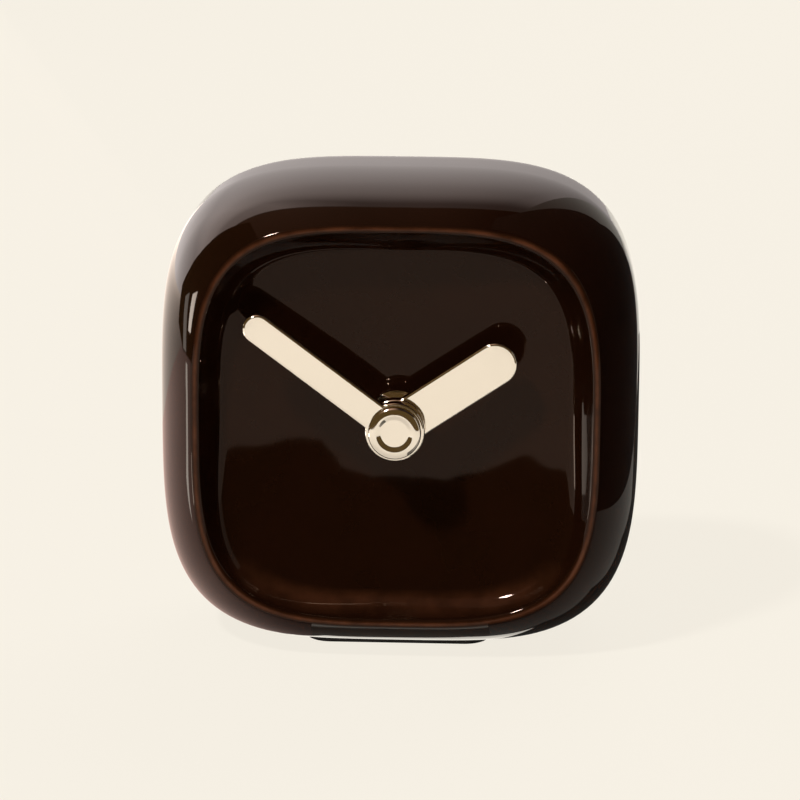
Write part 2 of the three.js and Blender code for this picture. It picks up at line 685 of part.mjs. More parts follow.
addOnArbor(
  "fifth_wheel",
  fifthAt,
  joined(
    wheel(TEETH.fifthWheel, modules.rotor, fifthAngle, fifthLevel),
    pinion(TEETH.fifthPinion, modules.fifth, fifthPinionAngle, fourthLevel),
    rod(ARBOR_RADIUS, pivotFront, pivotBack),
  ),
  WHITE_PLASTIC,
);
addOnArbor(
  "rotor_pinion",
  rotorAt,
  joined(
    pinion(TEETH.rotorPinion, modules.rotor, rotorAngle, fifthLevel),
    rod(ARBOR_RADIUS, pivotFront, pivotBack),
  ),
  STEEL,
);
const magnetBack = fifthLevel[0] - PINION_OVERLAP - AXIAL_GAP;
const magnetFront = magnetBack - MAGNET_LENGTH;
const magnet = ring(ARBOR_RADIUS + SEAT_GAP, MAGNET_RADIUS, magnetFront, magnetBack);
addOnArbor("rotor_magnet", rotorAt, magnet, MAGNET);

// Housing: outline of the tray, with the wheel train above the divider and the cell below it.
const halfTray = CELL_LENGTH / 2 + CONTACT_ROOM + TRAY_WALL;
const trainRadius = Math.max(
  tipRadius(TEETH.centerWheel, modules.third),
  tipRadius(TEETH.fourthWheel, modules.fifth),
  tipRadius(TEETH.hourWheel, modules.hour),
);
const dividerTop = -(trainRadius + AXIAL_GAP);
const dividerBottom = dividerTop - DIVIDER;
const cellRadius = CELL_DIAMETER / 2;
const cellZ = dividerBottom - RUNNING_GAP - cellRadius;
const cellY = plateBack + RUNNING_GAP + cellRadius;
const bayBottom = cellZ - cellRadius - RUNNING_GAP;
const trayBottom = bayBottom - TRAY_WALL;
const trayTop = halfTray;
const insideTray = halfTray - TRAY_WALL;
const insideCorner = TRAY_CORNER - TRAY_WALL;

// Stepping motor: the coil lies along the top of the tray, over the rotor.
const statorFront = (magnetFront + magnetBack - STATOR_THICKNESS) / 2;
const statorBack = statorFront + STATOR_THICKNESS;
const coreBack = statorBack + COIL_CORE_THICKNESS;
const coilY = (statorBack + coreBack) / 2;
const coilZ = insideTray - RUNNING_GAP - BOBBIN_FLANGE_RADIUS;
const statorRight = -STATOR_SETBACK;
const coilRight = statorRight - STATOR_LEG - RUNNING_GAP;
const coilLeft = coilRight - COIL_LENGTH;
const statorLeft = coilLeft - RUNNING_GAP - STATOR_LEG;
const statorHole = MAGNET_RADIUS + STATOR_GAP;
const statorBottom = rotorAt.y - statorHole - STATOR_BRIDGE;
const statorBarTop = rotorAt.y + statorHole + STATOR_BRIDGE;
const coreTop = coilZ + COIL_CORE / 2;
const coreBottom = coilZ - COIL_CORE / 2;

function statorPlate() {
  const shape = new THREE.Shape(
    [
      [statorLeft, statorBottom],
      [statorRight, statorBottom],
      [statorRight, coreTop],
      [statorRight - STATOR_LEG, coreTop],
      [statorRight - STATOR_LEG, statorBarTop],
      [statorLeft + STATOR_LEG, statorBarTop],
      [statorLeft + STATOR_LEG, coreTop],
      [statorLeft, coreTop],
    ].map(([x, z]) => new THREE.Vector2(x, z)),
  );
  shape.holes.push(new THREE.Path().absarc(rotorAt.x, rotorAt.y, statorHole, 0, 2 * Math.PI, true));
  return plate(shape, statorFront, statorBack);
}
addPiece(movement, "stator_plate", statorPlate(), IRON);
addPiece(
  movement,
  "coil_core",
  block(statorLeft, coreBottom, statorRight, coreTop, statorBack, coreBack),
  IRON,
);

// A turned piece that lies along X, between the coil's two ends.
const alongCoil = (geometry) => geometry.rotateZ(-Math.PI / 2).translate(coilLeft, coilY, coilZ);
const coreHole = block(
  coilLeft - RUNNING_GAP,
  coreBottom - SEAT_GAP,
  coilRight + RUNNING_GAP,
  coreTop + SEAT_GAP,
  statorBack - SEAT_GAP,
  coreBack + SEAT_GAP,
);
addPiece(
  movement,
  "coil_bobbin",
  cut(
    alongCoil(
      turned([
        [0, 0],
        [BOBBIN_FLANGE_RADIUS, 0],
        [BOBBIN_FLANGE_RADIUS, BOBBIN_FLANGE],
        [BOBBIN_TUBE_RADIUS, BOBBIN_FLANGE],
        [BOBBIN_TUBE_RADIUS, COIL_LENGTH - BOBBIN_FLANGE],
        [BOBBIN_FLANGE_RADIUS, COIL_LENGTH - BOBBIN_FLANGE],
        [BOBBIN_FLANGE_RADIUS, COIL_LENGTH],
        [0, COIL_LENGTH],
      ]),
    ),
    coreHole,
  ),
  WHITE_PLASTIC,
);
addPiece(
  movement,
  "coil_winding",
  alongCoil(
    ring(
      BOBBIN_TUBE_RADIUS + SEAT_GAP,
      WINDING_RADIUS,
      BOBBIN_FLANGE + SEAT_GAP,
      COIL_LENGTH - BOBBIN_FLANGE - SEAT_GAP,
    ),
  ),
  COPPER,
);

// Circuit board in the other top corner, on two posts, with the crystal and the chip on its back.
const boardRight = insideTray - RUNNING_GAP;
const boardLeft = boardRight - BOARD_WIDTH;
const boardTop = insideTray - RUNNING_GAP;
const boardBottom = boardTop - BOARD_HEIGHT;
const boardBack = trayBack - BOARD_SETBACK;
const boardFront = boardBack - BOARD_THICKNESS;
const boardMiddle = (boardTop + boardBottom) / 2;
addPiece(
  movement,
  "circuit_board",
  roundedPlate(boardLeft, boardBottom, boardRight, boardTop, insideCorner, boardFront, boardBack),
  BOARD,
);
// The crystal's can lies on one of its flats.
const canFlat = CRYSTAL_RADIUS * Math.cos(Math.PI / CRYSTAL_SIDES);
addPiece(
  movement,
  "quartz_crystal",
  new THREE.CylinderGeometry(CRYSTAL_RADIUS, CRYSTAL_RADIUS, CRYSTAL_LENGTH, CRYSTAL_SIDES)
    .rotateY(Math.PI / CRYSTAL_SIDES)
    .rotateZ(Math.PI / 2)
    .translate(boardLeft + BOARD_WIDTH / 4, boardBack + canFlat, boardMiddle),
  STEEL,
);
addPiece(
  movement,
  "timing_chip",
  turned(
    [
      [0, 0],
      [CHIP_RADIUS, 0],
      [CHIP_SHOULDER.radius, CHIP_SHOULDER.height],
      [0, CHIP_HEIGHT],
    ],
    FINE_STEPS,
  ).translate(boardRight - BOARD_WIDTH / 4, boardBack, boardMiddle),
  BLACK_PLASTIC,
);

// The bridge stands on three posts in the corners that the wheels leave free.
const bridgeSide = insideTray - 2 * POST_RADIUS;
const bridgeTop = Math.min(boardBottom, coilZ - BOBBIN_FLANGE_RADIUS) - RUNNING_GAP;
const bridgeBottom = dividerTop + AXIAL_GAP;
const arbors = [
  [DIAL_AXIS, ARBOR_RADIUS],
  [thirdAt, ARBOR_RADIUS],
  [fifthAt, ARBOR_RADIUS],
  [rotorAt, ARBOR_RADIUS],
  [settingAt, SETTING_ARBOR_RADIUS],
];
const pivotHole = (at, radius, front, back) => rod(radius + SEAT_GAP, front, back).translate(at.x, 0, at.y);
const post = (x, z, front, back) => rod(POST_RADIUS, front, back).translate(x, 0, z);

const postX = bridgeSide - POST_RADIUS - RUNNING_GAP;
const bridgePosts = [
  [-postX, bridgeBottom + POST_RADIUS + RUNNING_GAP],
  [postX, bridgeBottom + POST_RADIUS + RUNNING_GAP],
  [postX, bridgeTop - POST_RADIUS - RUNNING_GAP],
];
addPiece(
  movement,
  "train_bridge",
  cut(
    joined(
      roundedPlate(-bridgeSide, bridgeBottom, bridgeSide, bridgeTop, POST_RADIUS, bridgeFront, bridgeBack),
      ...bridgePosts.map(([x, z]) => post(x, z, plateBack, bridgeFront + SEAT_GAP)),
    ),
    ...arbors.map(([at, radius]) => pivotHole(at, radius, bridgeFront - SEAT_GAP, bridgeBack + SEAT_GAP)),
  ),
  BLACK_PLASTIC,
);

function frontCase() {
  const past = trayBack + AXIAL_GAP;
  const boardPosts = [boardLeft + BOARD_WIDTH / 4, boardRight - BOARD_WIDTH / 4];
  const statorPosts = [statorLeft + STATOR_LEG / 2, statorRight - STATOR_LEG / 2];
  const hollow = cut(
    roundedPlate(-halfTray, trayBottom, halfTray, trayTop, TRAY_CORNER, 0, trayBack),
    roundedPlate(-insideTray, dividerTop, insideTray, insideTray, insideCorner, plateBack, past),
    roundedPlate(-insideTray, bayBottom, insideTray, dividerBottom, insideCorner, plateBack, past),
    rod(bushingBore, -AXIAL_GAP, past, ROUND_STEPS),
    ...arbors.slice(1).map(([at, radius]) => pivotHole(at, radius, plateBack - PIVOT_DEPTH, past)),
  );
  return joined(
    hollow,
    ...boardPosts.map((x) => post(x, boardMiddle, plateBack - SEAT_GAP, boardFront)),
    ...statorPosts.map((x) => post(x, coilZ, plateBack - SEAT_GAP, statorFront)),
  );
}
addPiece(movement, "movement_front_case", frontCase(), BLACK_PLASTIC);
addPiece(
  movement,
  "movement_back_cover",
  cut(
    roundedPlate(-halfTray, dividerBottom, halfTray, trayTop, TRAY_CORNER, trayBack, coverBack),
    pivotHole(settingAt, SETTING_ARBOR_RADIUS, trayBack - SEAT_GAP, coverBack + SEAT_GAP),
  ),
  BLACK_PLASTIC,
);

// Cell along X with its nub to the right, between two sprung leaves.
const cellEnd = CELL_LENGTH / 2;
addPiece(
  movement,
  "battery",
  turned([
    [0, -cellEnd],
    [cellRadius - CELL_EDGE, -cellEnd],
    [cellRadius, -cellEnd + CELL_EDGE],
    [cellRadius, cellEnd - CELL_NUB_LENGTH - CELL_EDGE],
    [cellRadius - CELL_EDGE, cellEnd - CELL_NUB_LENGTH],
    [CELL_NUB_DIAMETER / 2, cellEnd - CELL_NUB_LENGTH],
    [CELL_NUB_DIAMETER / 2, cellEnd],
    [0, cellEnd],
  ])
    .rotateZ(-Math.PI / 2)
    .translate(0, cellY, cellZ),
  CELL_SLEEVE,
);

// A leaf on the tray's end wall whose middle bows out to the cell. Side is 1 at the right, -1 at the left.
function contactLeaf(side) {
  const bow = CONTACT_ROOM - CONTACT_THICKNESS - SEAT_GAP;
  const half = CONTACT_LENGTH / 2;
  const profile = new THREE.Shape();
  profile.moveTo(0, -half);
  profile.lineTo(0, half);
  profile.lineTo(-CONTACT_THICKNESS, half);
  profile.quadraticCurveTo(-CONTACT_THICKNESS - 2 * bow, 0, -CONTACT_THICKNESS, -half);
  const leaf = new THREE.ExtrudeGeometry(profile, {
    depth: CONTACT_WIDTH,
    bevelEnabled: false,
    curveSegments: 2 * CORNER_STEPS,
  });
  leaf.translate(0, 0, -CONTACT_WIDTH / 2);
  if (side < 0) leaf.rotateZ(Math.PI);
  return leaf.translate(side * insideTray, cellY, cellZ);
}
addPiece(movement, "contact_positive", contactLeaf(1), STEEL);
addPiece(movement, "contact_negative", contactLeaf(-1), STEEL);

export default clock;
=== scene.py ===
import math

import bmesh
import bpy
from bpy.props import FloatProperty, FloatVectorProperty, IntProperty, PointerProperty
from mathutils import Matrix, Vector
from mathutils.geometry import interpolate_bezier


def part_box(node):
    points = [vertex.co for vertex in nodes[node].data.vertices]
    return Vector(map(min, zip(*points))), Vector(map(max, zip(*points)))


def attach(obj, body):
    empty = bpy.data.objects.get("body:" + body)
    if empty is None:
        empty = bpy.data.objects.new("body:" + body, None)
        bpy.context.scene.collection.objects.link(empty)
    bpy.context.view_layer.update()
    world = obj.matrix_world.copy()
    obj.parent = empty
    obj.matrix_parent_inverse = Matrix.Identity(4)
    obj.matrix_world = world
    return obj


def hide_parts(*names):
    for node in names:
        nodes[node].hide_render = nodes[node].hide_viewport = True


bl_info = {
    "name": "Ceramic desk clock",
    "version": (1, 0, 0),
    "blender": (4, 5, 0),
    "location": "3D View > Sidebar > Clock",
    "description": "Dresses the frame of a desk clock: glazed shell, brass hands, movement and studio",
    "category": "Object",
}

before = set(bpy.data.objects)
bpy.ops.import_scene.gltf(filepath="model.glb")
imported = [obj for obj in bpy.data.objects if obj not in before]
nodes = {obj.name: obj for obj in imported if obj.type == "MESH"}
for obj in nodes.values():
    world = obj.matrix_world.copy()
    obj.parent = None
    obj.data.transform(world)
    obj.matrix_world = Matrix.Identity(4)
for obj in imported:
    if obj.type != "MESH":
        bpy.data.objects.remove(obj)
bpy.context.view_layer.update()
MM = 0.001
PICTURE = 800  # pixels, both ways
SENSOR = 36.0  # mm
QUARTER_TURN, HALF_TURN = math.pi / 2, math.pi
ROUND_POINTS = 72  # round a turned piece
# Sockets of the map range and mix nodes that share a name with others there.
FROM_MIN, FROM_MAX, TO_MIN, TO_MAX = 1, 2, 3, 4
MIX_SHARE, MIX_VALUE_A, MIX_VALUE_B, MIX_COLOUR_A, MIX_COLOUR_B = 0, 2, 3, 6, 7
MIXED_VALUE, MIXED_COLOUR = 0, 2


def linear(hex_colour):
    """An sRGB hex colour as the linear values that shaders take."""
    parts = [int(hex_colour[i : i + 2], 16) / 255 for i in (1, 3, 5)]
    return tuple(c / 12.92 if c <= 0.04045 else ((c + 0.055) / 1.055) ** 2.4 for c in parts)


def length(label, text, millimetres):
    return FloatProperty(name=label, description=text, default=millimetres * MM, unit="LENGTH", precision=5)


def angle(label, text, degrees):
    return FloatProperty(name=label, description=text, default=math.radians(degrees), subtype="ANGLE")


def colour(label, text, hex_colour):
    return FloatVectorProperty(
        name=label, description=text, default=linear(hex_colour), subtype="COLOR", size=3, min=0, max=1
    )


def steps(label, text, count):
    return IntProperty(name=label, description=text, default=count, min=3)


shell_low, shell_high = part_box("case_body")
cap_low, cap_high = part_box("hand_cap")
DIAL_AXIS = (cap_low + cap_high) / 2


class ClockShell(bpy.types.PropertyGroup):
    width: length("Width", "Shell across its sides", (shell_high.x - shell_low.x) / MM)
    depth: length("Depth", "From the crest of the rim to the rear lip", 58.5)
    height: length("Height", "Shell from top to bottom, before the foot is ground flat", 100.8)
    side_round: length("Side round", "Radius of the side profile, front and back", 38)
    outline_power: FloatProperty(
        name="Outline power", description="2 is an ellipse, higher is squarer", default=3.72
    )
    rim_power: FloatProperty(name="Rim power", description="The same for the rim and the dial", default=3.5)
    wall: length("Wall", "Thickness of the ceramic", 5.5)
    rim_inset: length("Rim inset", "From the outline to the crest of the rim", 9.1)
    rim_round: length("Rim round", "Radius of the crest", 1.2)
    rim_slope: angle("Rim slope", "Fall of the dial side behind the crest", 60)
    cove_width: length("Cove width", "From the crest to the edge of the dial floor", 6)
    cove_firmness: FloatProperty(
        name="Cove firmness", description="0 is a straight slope, 1 a sharp corner at the dial", default=0.8
    )
    dial_depth: length("Dial depth", "From the crest to the deepest point of the dial", 9.6)
    dish_radius: length("Dish radius", "Radius of the hollow dial", 200)
    dish_lift: length("Dish lift", "From the dial axis up to the deepest point of the dial", 4.3)
    dial_wall: length("Dial wall", "Thickness of the dial", 5)
    seat_radius: length("Seat radius", "Flat behind the dial, where the movement is clamped", 15)
    bore_radius: length("Bore radius", "Hole for the bushing", 4.3)
    mouth_reach: angle("Mouth reach", "How far the rear round goes on before the lip", 40)
    cavity_reach: angle("Cavity reach", "How far the cavity follows the front round", 28)
    foot_soft: length("Foot softness", "Rounding where the foot is ground flat", 0.25)
    points: steps("Points", "Points round each ring", 224)


class ClockHands(bpy.types.PropertyGroup):
    hub_radius: length("Hub radius", "Round hub of both hands", 6.1)
    hour_reach: length("Hour reach", "Axis to tip of the hour hand", 28.85)
    hour_width: length("Hour width", "Width of the hour hand's bar", 8.9)
    hour_angle: angle("Hour angle", "Clockwise from twelve", 55.8)
    minute_reach: length("Minute reach", "Axis to tip of the minute hand", 37.85)
    minute_width: length("Minute width", "Width of the minute hand's bar", 6)
    minute_angle: angle("Minute angle", "Clockwise from twelve", 307.1)
    hour_bore: length("Hour bore", "Radius of the hole in the hour hand", 2.55)
    minute_bore: length("Minute bore", "Radius of the hole in the minute hand", 1.15)
    edge_round: length("Edge round", "Polished round on the edges of the hands", 0.5)
    lean: angle("Lean", "How far the hands lean forward from the hub to the tip", 1.2)
    cap_crown: length("Cap crown", "Fall of the domed ring round the cap's hollow", 0.8)
    cap_dish: length("Cap dish", "Radius of the hollow in the cap", 3.7)
    cap_flat: length("Cap flat", "Radius of the flat bottom of that hollow", 2.9)
    cap_dish_depth: length("Cap dish depth", "Depth of that hollow", 0.4)


class ClockColours(bpy.types.PropertyGroup):
    glaze: colour("Glaze", "Deep brown of the thick glaze", "#130702")
    glaze_light: colour("Glaze, lighter", "Brown of the glaze where it ran thinner", "#1b0a04")
    # This red-brown is also the painted light in the low part of the cove.
    glaze_edge_and_cove_light: colour("Glaze on edges", "Red-brown where the glaze breaks over an edge", "#512d1b")
    clay: colour("Clay", "Bare fired clay of the foot and the inside", "#8f745c")
    brass: colour("Brass", "Polished pale brass", "#ebe1d4")
    steel: colour("Steel", "Plain bright steel", "#c3c5c8")
    iron: colour("Iron", "Stamped soft iron", "#85888c")
    magnet: colour("Magnet", "Dark sintered magnet", "#3c3d40")
    copper: colour("Copper", "Enamelled copper wire", "#b9673a")
    housing: colour("Housing", "Black moulded plastic", "#1b1b1e")
    wheels: colour("Wheels", "Natural white moulded plastic", "#e6e3da")
    board: colour("Board", "Brown laminate", "#8a6a34")
    rubber: colour("Rubber", "Black rubber", "#1c1917")
    sleeve: colour("Sleeve", "Plain film on the cell", "#3f4a55")
    band: colour("Band", "Pale band of the cell's film, at its positive end", "#c9c4b6")
    mark: colour("Marks", "Raised marks on the housing", "#232327")
    backdrop: colour("Backdrop", "Cream floor and background", "#f6f0e4")


class ClockStage(bpy.types.PropertyGroup):
    distance: length("Camera distance", "From the middle of the clock", 700)
    elevation: angle("Camera elevation", "Above the middle of the clock", 13.24)
    azimuth: angle("Camera azimuth", "To the right of the clock's front", 2.41)
    roll: angle("Camera roll", "Turn of the picture, anticlockwise", -0.34)
    focal: FloatProperty(name="Focal length", description="In pixels of the picture", default=3306.0)
    middle: FloatVectorProperty(
        name="Middle", description="Pixel of the clock's middle", default=(401.4, 396.9), size=2
    )


# Small helpers for meshes.


def add_piece(name, loops, material, body, stands_for=(), closed=True, sharp=40):
    """A skin through loops of points, with quads from each loop to the next, riding on a body."""
    count = len(loops[0])
    faces = []
    for i in range(len(loops) if closed else len(loops) - 1):
        here, after = i * count, (i + 1) % len(loops) * count
        for k in range(count):
            turn = (k + 1) % count
            faces.append((here + k, here + turn, after + turn, after + k))
    mesh = bpy.data.meshes.new(name)
    mesh.from_pydata([tuple(p) for loop in loops for p in loop], [], faces)
    tidy = bmesh.new()
    tidy.from_mesh(mesh)
    bmesh.ops.remove_doubles(tidy, verts=tidy.verts, dist=1e-7)
    bmesh.ops.dissolve_degenerate(tidy, edges=tidy.edges, dist=1e-8)
    bmesh.ops.recalc_face_normals(tidy, faces=tidy.faces)
    tidy.to_mesh(mesh)
    tidy.free()
    mesh.shade_smooth()
    mesh.set_sharp_from_angle(angle=math.radians(sharp))
    mesh.materials.append(material)
    piece = bpy.data.objects.new(name, mesh)
    bpy.context.scene.collection.objects.link(piece)
    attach(piece, body)
    if stands_for:
        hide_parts(*stands_for)
    return piece


def dress(names, material, bevel=0.12):
    """Gives CAD nodes a finish, welded and with softened edges."""
    for name in names:
        node = nodes[name]
        node.data.materials.clear()
        node.data.materials.append(material)
        weld = node.modifiers.new("Weld", "WELD")
        weld.merge_threshold = 1e-6
        if bevel:
            edge = node.modifiers.new("Edge", "BEVEL")
            edge.width = bevel * MM
            edge.segments = 2
            edge.limit_method = "ANGLE"
            edge.angle_limit = math.radians(35)


def even_turns(whole, count):
    """Angles from nothing to the whole turn, in that many even steps."""
    return [whole * k / count for k in range(count + 1)]


def circle(radius, count=ROUND_POINTS):
    turns = [2 * math.pi * k / count for k in range(count)]
    return [(radius * math.cos(t), radius * math.sin(t)) for t in turns]


def turned(profile, centre, count=ROUND_POINTS):
    """Loops of a piece turned about the Y axis, from a profile of (radius, y)."""
    return [[(centre.x + a, y, centre.z + b) for a, b in circle(r, count)] for r, y in profile]


def turned_along_x(profile, centre):
    """The same about the X axis, from a profile of (radius, x)."""
    return [[(x, centre.y + a, centre.z + b) for a, b in circle(r)] for r, x in profile]


def raised(name, outline, foot, top, material, soft=0.1 * MM):
    """A low mark on the housing, from a convex outline of (x, z), with its edge drawn in at the top."""
    middle = sum((Vector(p) for p in outline), Vector((0, 0))) / len(outline)

    def loop(share, y):
        return [(x, y, z) for x, z in (middle + (Vector(p) - middle) * share for p in outline)]

    reach = max((Vector(p) - middle).length for p in outline)
    side = top - math.copysign(soft, top - foot)
    loops = [loop(0, foot), loop(1, foot), loop(1, side), loop(1 - soft / reach, top), loop(0, top)]
    return add_piece(name, loops, material, "case", closed=False, sharp=30)


def box_outline(x, z, width, height):
    corners = ((-1, -1), (1, -1), (1, 1), (-1, 1))
    return [(x + across * width / 2, z + up * height / 2) for across, up in corners]


def arc(x, y, radius, start, end, count):
    """Points of an arc in a profile, angles in degrees."""
    return [
        (x + radius * math.cos(math.radians(a)), y + radius * math.sin(math.radians(a)))
        for a in (start + (end - start) * k / count for k in range(count + 1))
    ]


# Materials.


def per_mm(size):
    """Texture scale that makes a feature about this many millimetres wide."""
    return 1 / (size * MM)


def add_node(tree, kind, inputs=None, **settings):
    """Adds a node, with its settings, and sets or links its inputs."""
    node = tree.nodes.new(kind)
    for key, value in settings.items():
        setattr(node, key, value)
    for key, value in (inputs or {}).items():
        if isinstance(value, bpy.types.NodeSocket):
            tree.links.new(value, node.inputs[key])
        else:
            node.inputs[key].default_value = value
    return node


def finish(name, base, **values):
    """A new material: its node tree, its shader and the object's own coordinates."""
    material = bpy.data.materials.new(name)
    material.use_nodes = True
    tree = material.node_tree
    shader = tree.nodes["Principled BSDF"]
    shader.inputs["Base Color"].default_value = (*base, 1)
    for key, value in values.items():
        shader.inputs[key.replace("_", " ").title().replace("Ior", "IOR")].default_value = value
    place = add_node(tree, "ShaderNodeTexCoord").outputs["Object"]
    return material, tree, shader, place


def glazed_stoneware(colours):
    # Slip-cast stoneware under a thick brown gloss glaze: a wet, deep mirror with slow waves, faint mottling
    # where it ran, a red-brown line where it breaks over an edge, and matt bare clay where none was left. The
    # same red-brown is painted into the low part of the cove as painted light.
    material, tree, shader, place = finish("Glazed stoneware", colours.glaze, IOR=1.3)
    # The specular tint paints a warm cast into every reflection of the glaze.
    shader.inputs["Specular Tint"].default_value = (*linear("#f2d2c2"), 1)
    painted = add_node(tree, "ShaderNodeAttribute", attribute_name="cover").outputs["Fac"]
    cover = add_node(tree, "ShaderNodeMapRange", {"Value": painted, FROM_MIN: 0.46, FROM_MAX: 0.54})
    cover = cover.outputs["Result"]
    edge_and_cove_light = add_node(tree, "ShaderNodeAttribute", attribute_name="edge_and_cove_light").outputs["Fac"]
    runs = add_node(
        tree, "ShaderNodeTexNoise", {"Vector": place, "Scale": per_mm(14), "Detail": 4.0, "Roughness": 0.55}
    )
    mottle = add_node(
        tree,
        "ShaderNodeMix",
        {
            MIX_SHARE: runs.outputs["Fac"],
            MIX_COLOUR_A: (*colours.glaze, 1),
            MIX_COLOUR_B: (*colours.glaze_light, 1),
        },
        data_type="RGBA",
    )
    patchy = add_node(
        tree, "ShaderNodeTexNoise", {"Vector": place, "Scale": per_mm(5), "Detail": 3.0}
    )
    patchy_share = add_node(
        tree,
        "ShaderNodeMapRange",
        {"Value": patchy.outputs["Fac"], FROM_MIN: 0.3, FROM_MAX: 0.65, TO_MIN: 0.3, TO_MAX: 1.0},
    )
    edge_break_and_cove_light = add_node(
        tree, "ShaderNodeMath", {0: edge_and_cove_light, 1: patchy_share.outputs["Result"]}, operation="MULTIPLY"
    )
    glazed = add_node(
        tree,
        "ShaderNodeMix",
        {
            MIX_SHARE: edge_break_and_cove_light.outputs["Value"],
            MIX_COLOUR_A: mottle.outputs[MIXED_COLOUR],
            MIX_COLOUR_B: (*colours.glaze_edge_and_cove_light, 1),
        },
        data_type="RGBA",
    )
    grit = add_node(
        tree, "ShaderNodeTexNoise", {"Vector": place, "Scale": per_mm(0.7), "Detail": 5.0, "Roughness": 0.7}
    )
    clay_dark = tuple(0.55 * c for c in colours.clay)
    clay = add_node(
        tree,
        "ShaderNodeMix",
        {MIX_SHARE: grit.outputs["Fac"], MIX_COLOUR_A: (*clay_dark, 1), MIX_COLOUR_B: (*colours.clay, 1)},
        data_type="RGBA",
    )
    surface = add_node(
        tree,
        "ShaderNodeMix",
        {
            MIX_SHARE: cover,
            MIX_COLOUR_A: clay.outputs[MIXED_COLOUR],
            MIX_COLOUR_B: glazed.outputs[MIXED_COLOUR],
        },
        data_type="RGBA",
    )
    gloss = add_node(tree, "ShaderNodeMapRange", {"Value": cover, TO_MIN: 0.8, TO_MAX: 0.035})
    waves = add_node(
        tree, "ShaderNodeTexNoise", {"Vector": place, "Scale": per_mm(22), "Detail": 2.0, "Roughness": 0.4}
    )
    wavy = add_node(
        tree, "ShaderNodeBump", {"Strength": 0.25, "Distance": 0.35 * MM, "Height": waves.outputs["Fac"]}
    )
    bare = add_node(tree, "ShaderNodeMapRange", {"Value": cover, TO_MIN: 0.8, TO_MAX: 0.0})
    gritty = add_node(
        tree,
        "ShaderNodeBump",
        {
            "Strength": bare.outputs["Result"],
            "Distance": 0.12 * MM,
            "Height": grit.outputs["Fac"],
            "Normal": wavy.outputs["Normal"],
        },
    )
    tree.links.new(surface.outputs[MIXED_COLOUR], shader.inputs["Base Color"])
    tree.links.new(gloss.outputs["Result"], shader.inputs["Roughness"])
    tree.links.new(gritty.outputs["Normal"], shader.inputs["Normal"])
    return material


def polished_brass(colours):
    # Pale brass, buffed and lacquered: a warm mirror with a light haze, soft smudges and fine buffing lines.
    material, tree, shader, place = finish("Polished pale brass", colours.brass, Metallic=1.0)
    smudge = add_node(
        tree, "ShaderNodeTexNoise", {"Vector": place, "Scale": per_mm(4), "Detail": 4.0, "Roughness": 0.6}
    )
    haze = add_node(
        tree,
        "ShaderNodeMapRange",
        {"Value": smudge.outputs["Fac"], FROM_MIN: 0.3, FROM_MAX: 0.75, TO_MIN: 0.05, TO_MAX: 0.09},
    )
    # Real buffing lines are finer than this and would not show.
    lines = add_node(
        tree, "ShaderNodeTexNoise", {"Vector": place, "Scale": per_mm(0.35), "Detail": 2.0}
    )
    buffed = add_node(
        tree, "ShaderNodeBump", {"Strength": 0.05, "Distance": 0.02 * MM, "Height": lines.outputs["Fac"]}
    )
    tree.links.new(haze.outputs["Result"], shader.inputs["Roughness"])
    tree.links.new(buffed.outputs["Normal"], shader.inputs["Normal"])
    return material


def grained(name, base, grain, roughness, depth, **values):
    """A plain finish with a fine grain of that width in mm, for moulded, stamped and sintered pieces."""
    material, tree, shader, place = finish(name, base, **values)
    noise = add_node(
        tree, "ShaderNodeTexNoise", {"Vector": place, "Scale": per_mm(grain), "Detail": 3.0, "Roughness": 0.6}
    )
    tone = add_node(
        tree,
        "ShaderNodeMix",
        {
            MIX_SHARE: noise.outputs["Fac"],
            MIX_COLOUR_A: (*(0.82 * c for c in base), 1),
            MIX_COLOUR_B: (*base, 1),
        },
        data_type="RGBA",
    )
    dull = add_node(
        tree,
        "ShaderNodeMapRange",
        {"Value": noise.outputs["Fac"], TO_MIN: roughness - 0.08, TO_MAX: roughness + 0.08},
    )
    rough = add_node(
        tree, "ShaderNodeBump", {"Strength": 0.35, "Distance": depth * MM, "Height": noise.outputs["Fac"]}
    )
    tree.links.new(tone.outputs[MIXED_COLOUR], shader.inputs["Base Color"])
    tree.links.new(dull.outputs["Result"], shader.inputs["Roughness"])
    tree.links.new(rough.outputs["Normal"], shader.inputs["Normal"])
    return material


def wound_wire(colours):
    # Enamelled copper wire, wound in layers: a row of round glossy turns. Real wire is a fifth of this pitch.
    material, tree, shader, place = finish("Wound copper wire", colours.copper, Metallic=1.0, Roughness=0.35)
    turns = add_node(
        tree,
        "ShaderNodeTexWave",
        {"Vector": place, "Scale": per_mm(0.35) / 20, "Distortion": 0.4, "Detail": 1.0},
        bands_direction="X",
    )
    # The valleys between the turns are painted darker: painted shade.
    tone = add_node(
        tree,
        "ShaderNodeMix",
        {
            MIX_SHARE: turns.outputs["Fac"],
            MIX_COLOUR_A: (*(0.35 * c for c in colours.copper), 1),
            MIX_COLOUR_B: (*colours.copper, 1),
        },
        data_type="RGBA",
    )
    rounds = add_node(
        tree, "ShaderNodeBump", {"Strength": 0.8, "Distance": 0.1 * MM, "Height": turns.outputs["Fac"]}
    )
    tree.links.new(tone.outputs[MIXED_COLOUR], shader.inputs["Base Color"])
    tree.links.new(rounds.outputs["Normal"], shader.inputs["Normal"])
    return material


# Pieces.


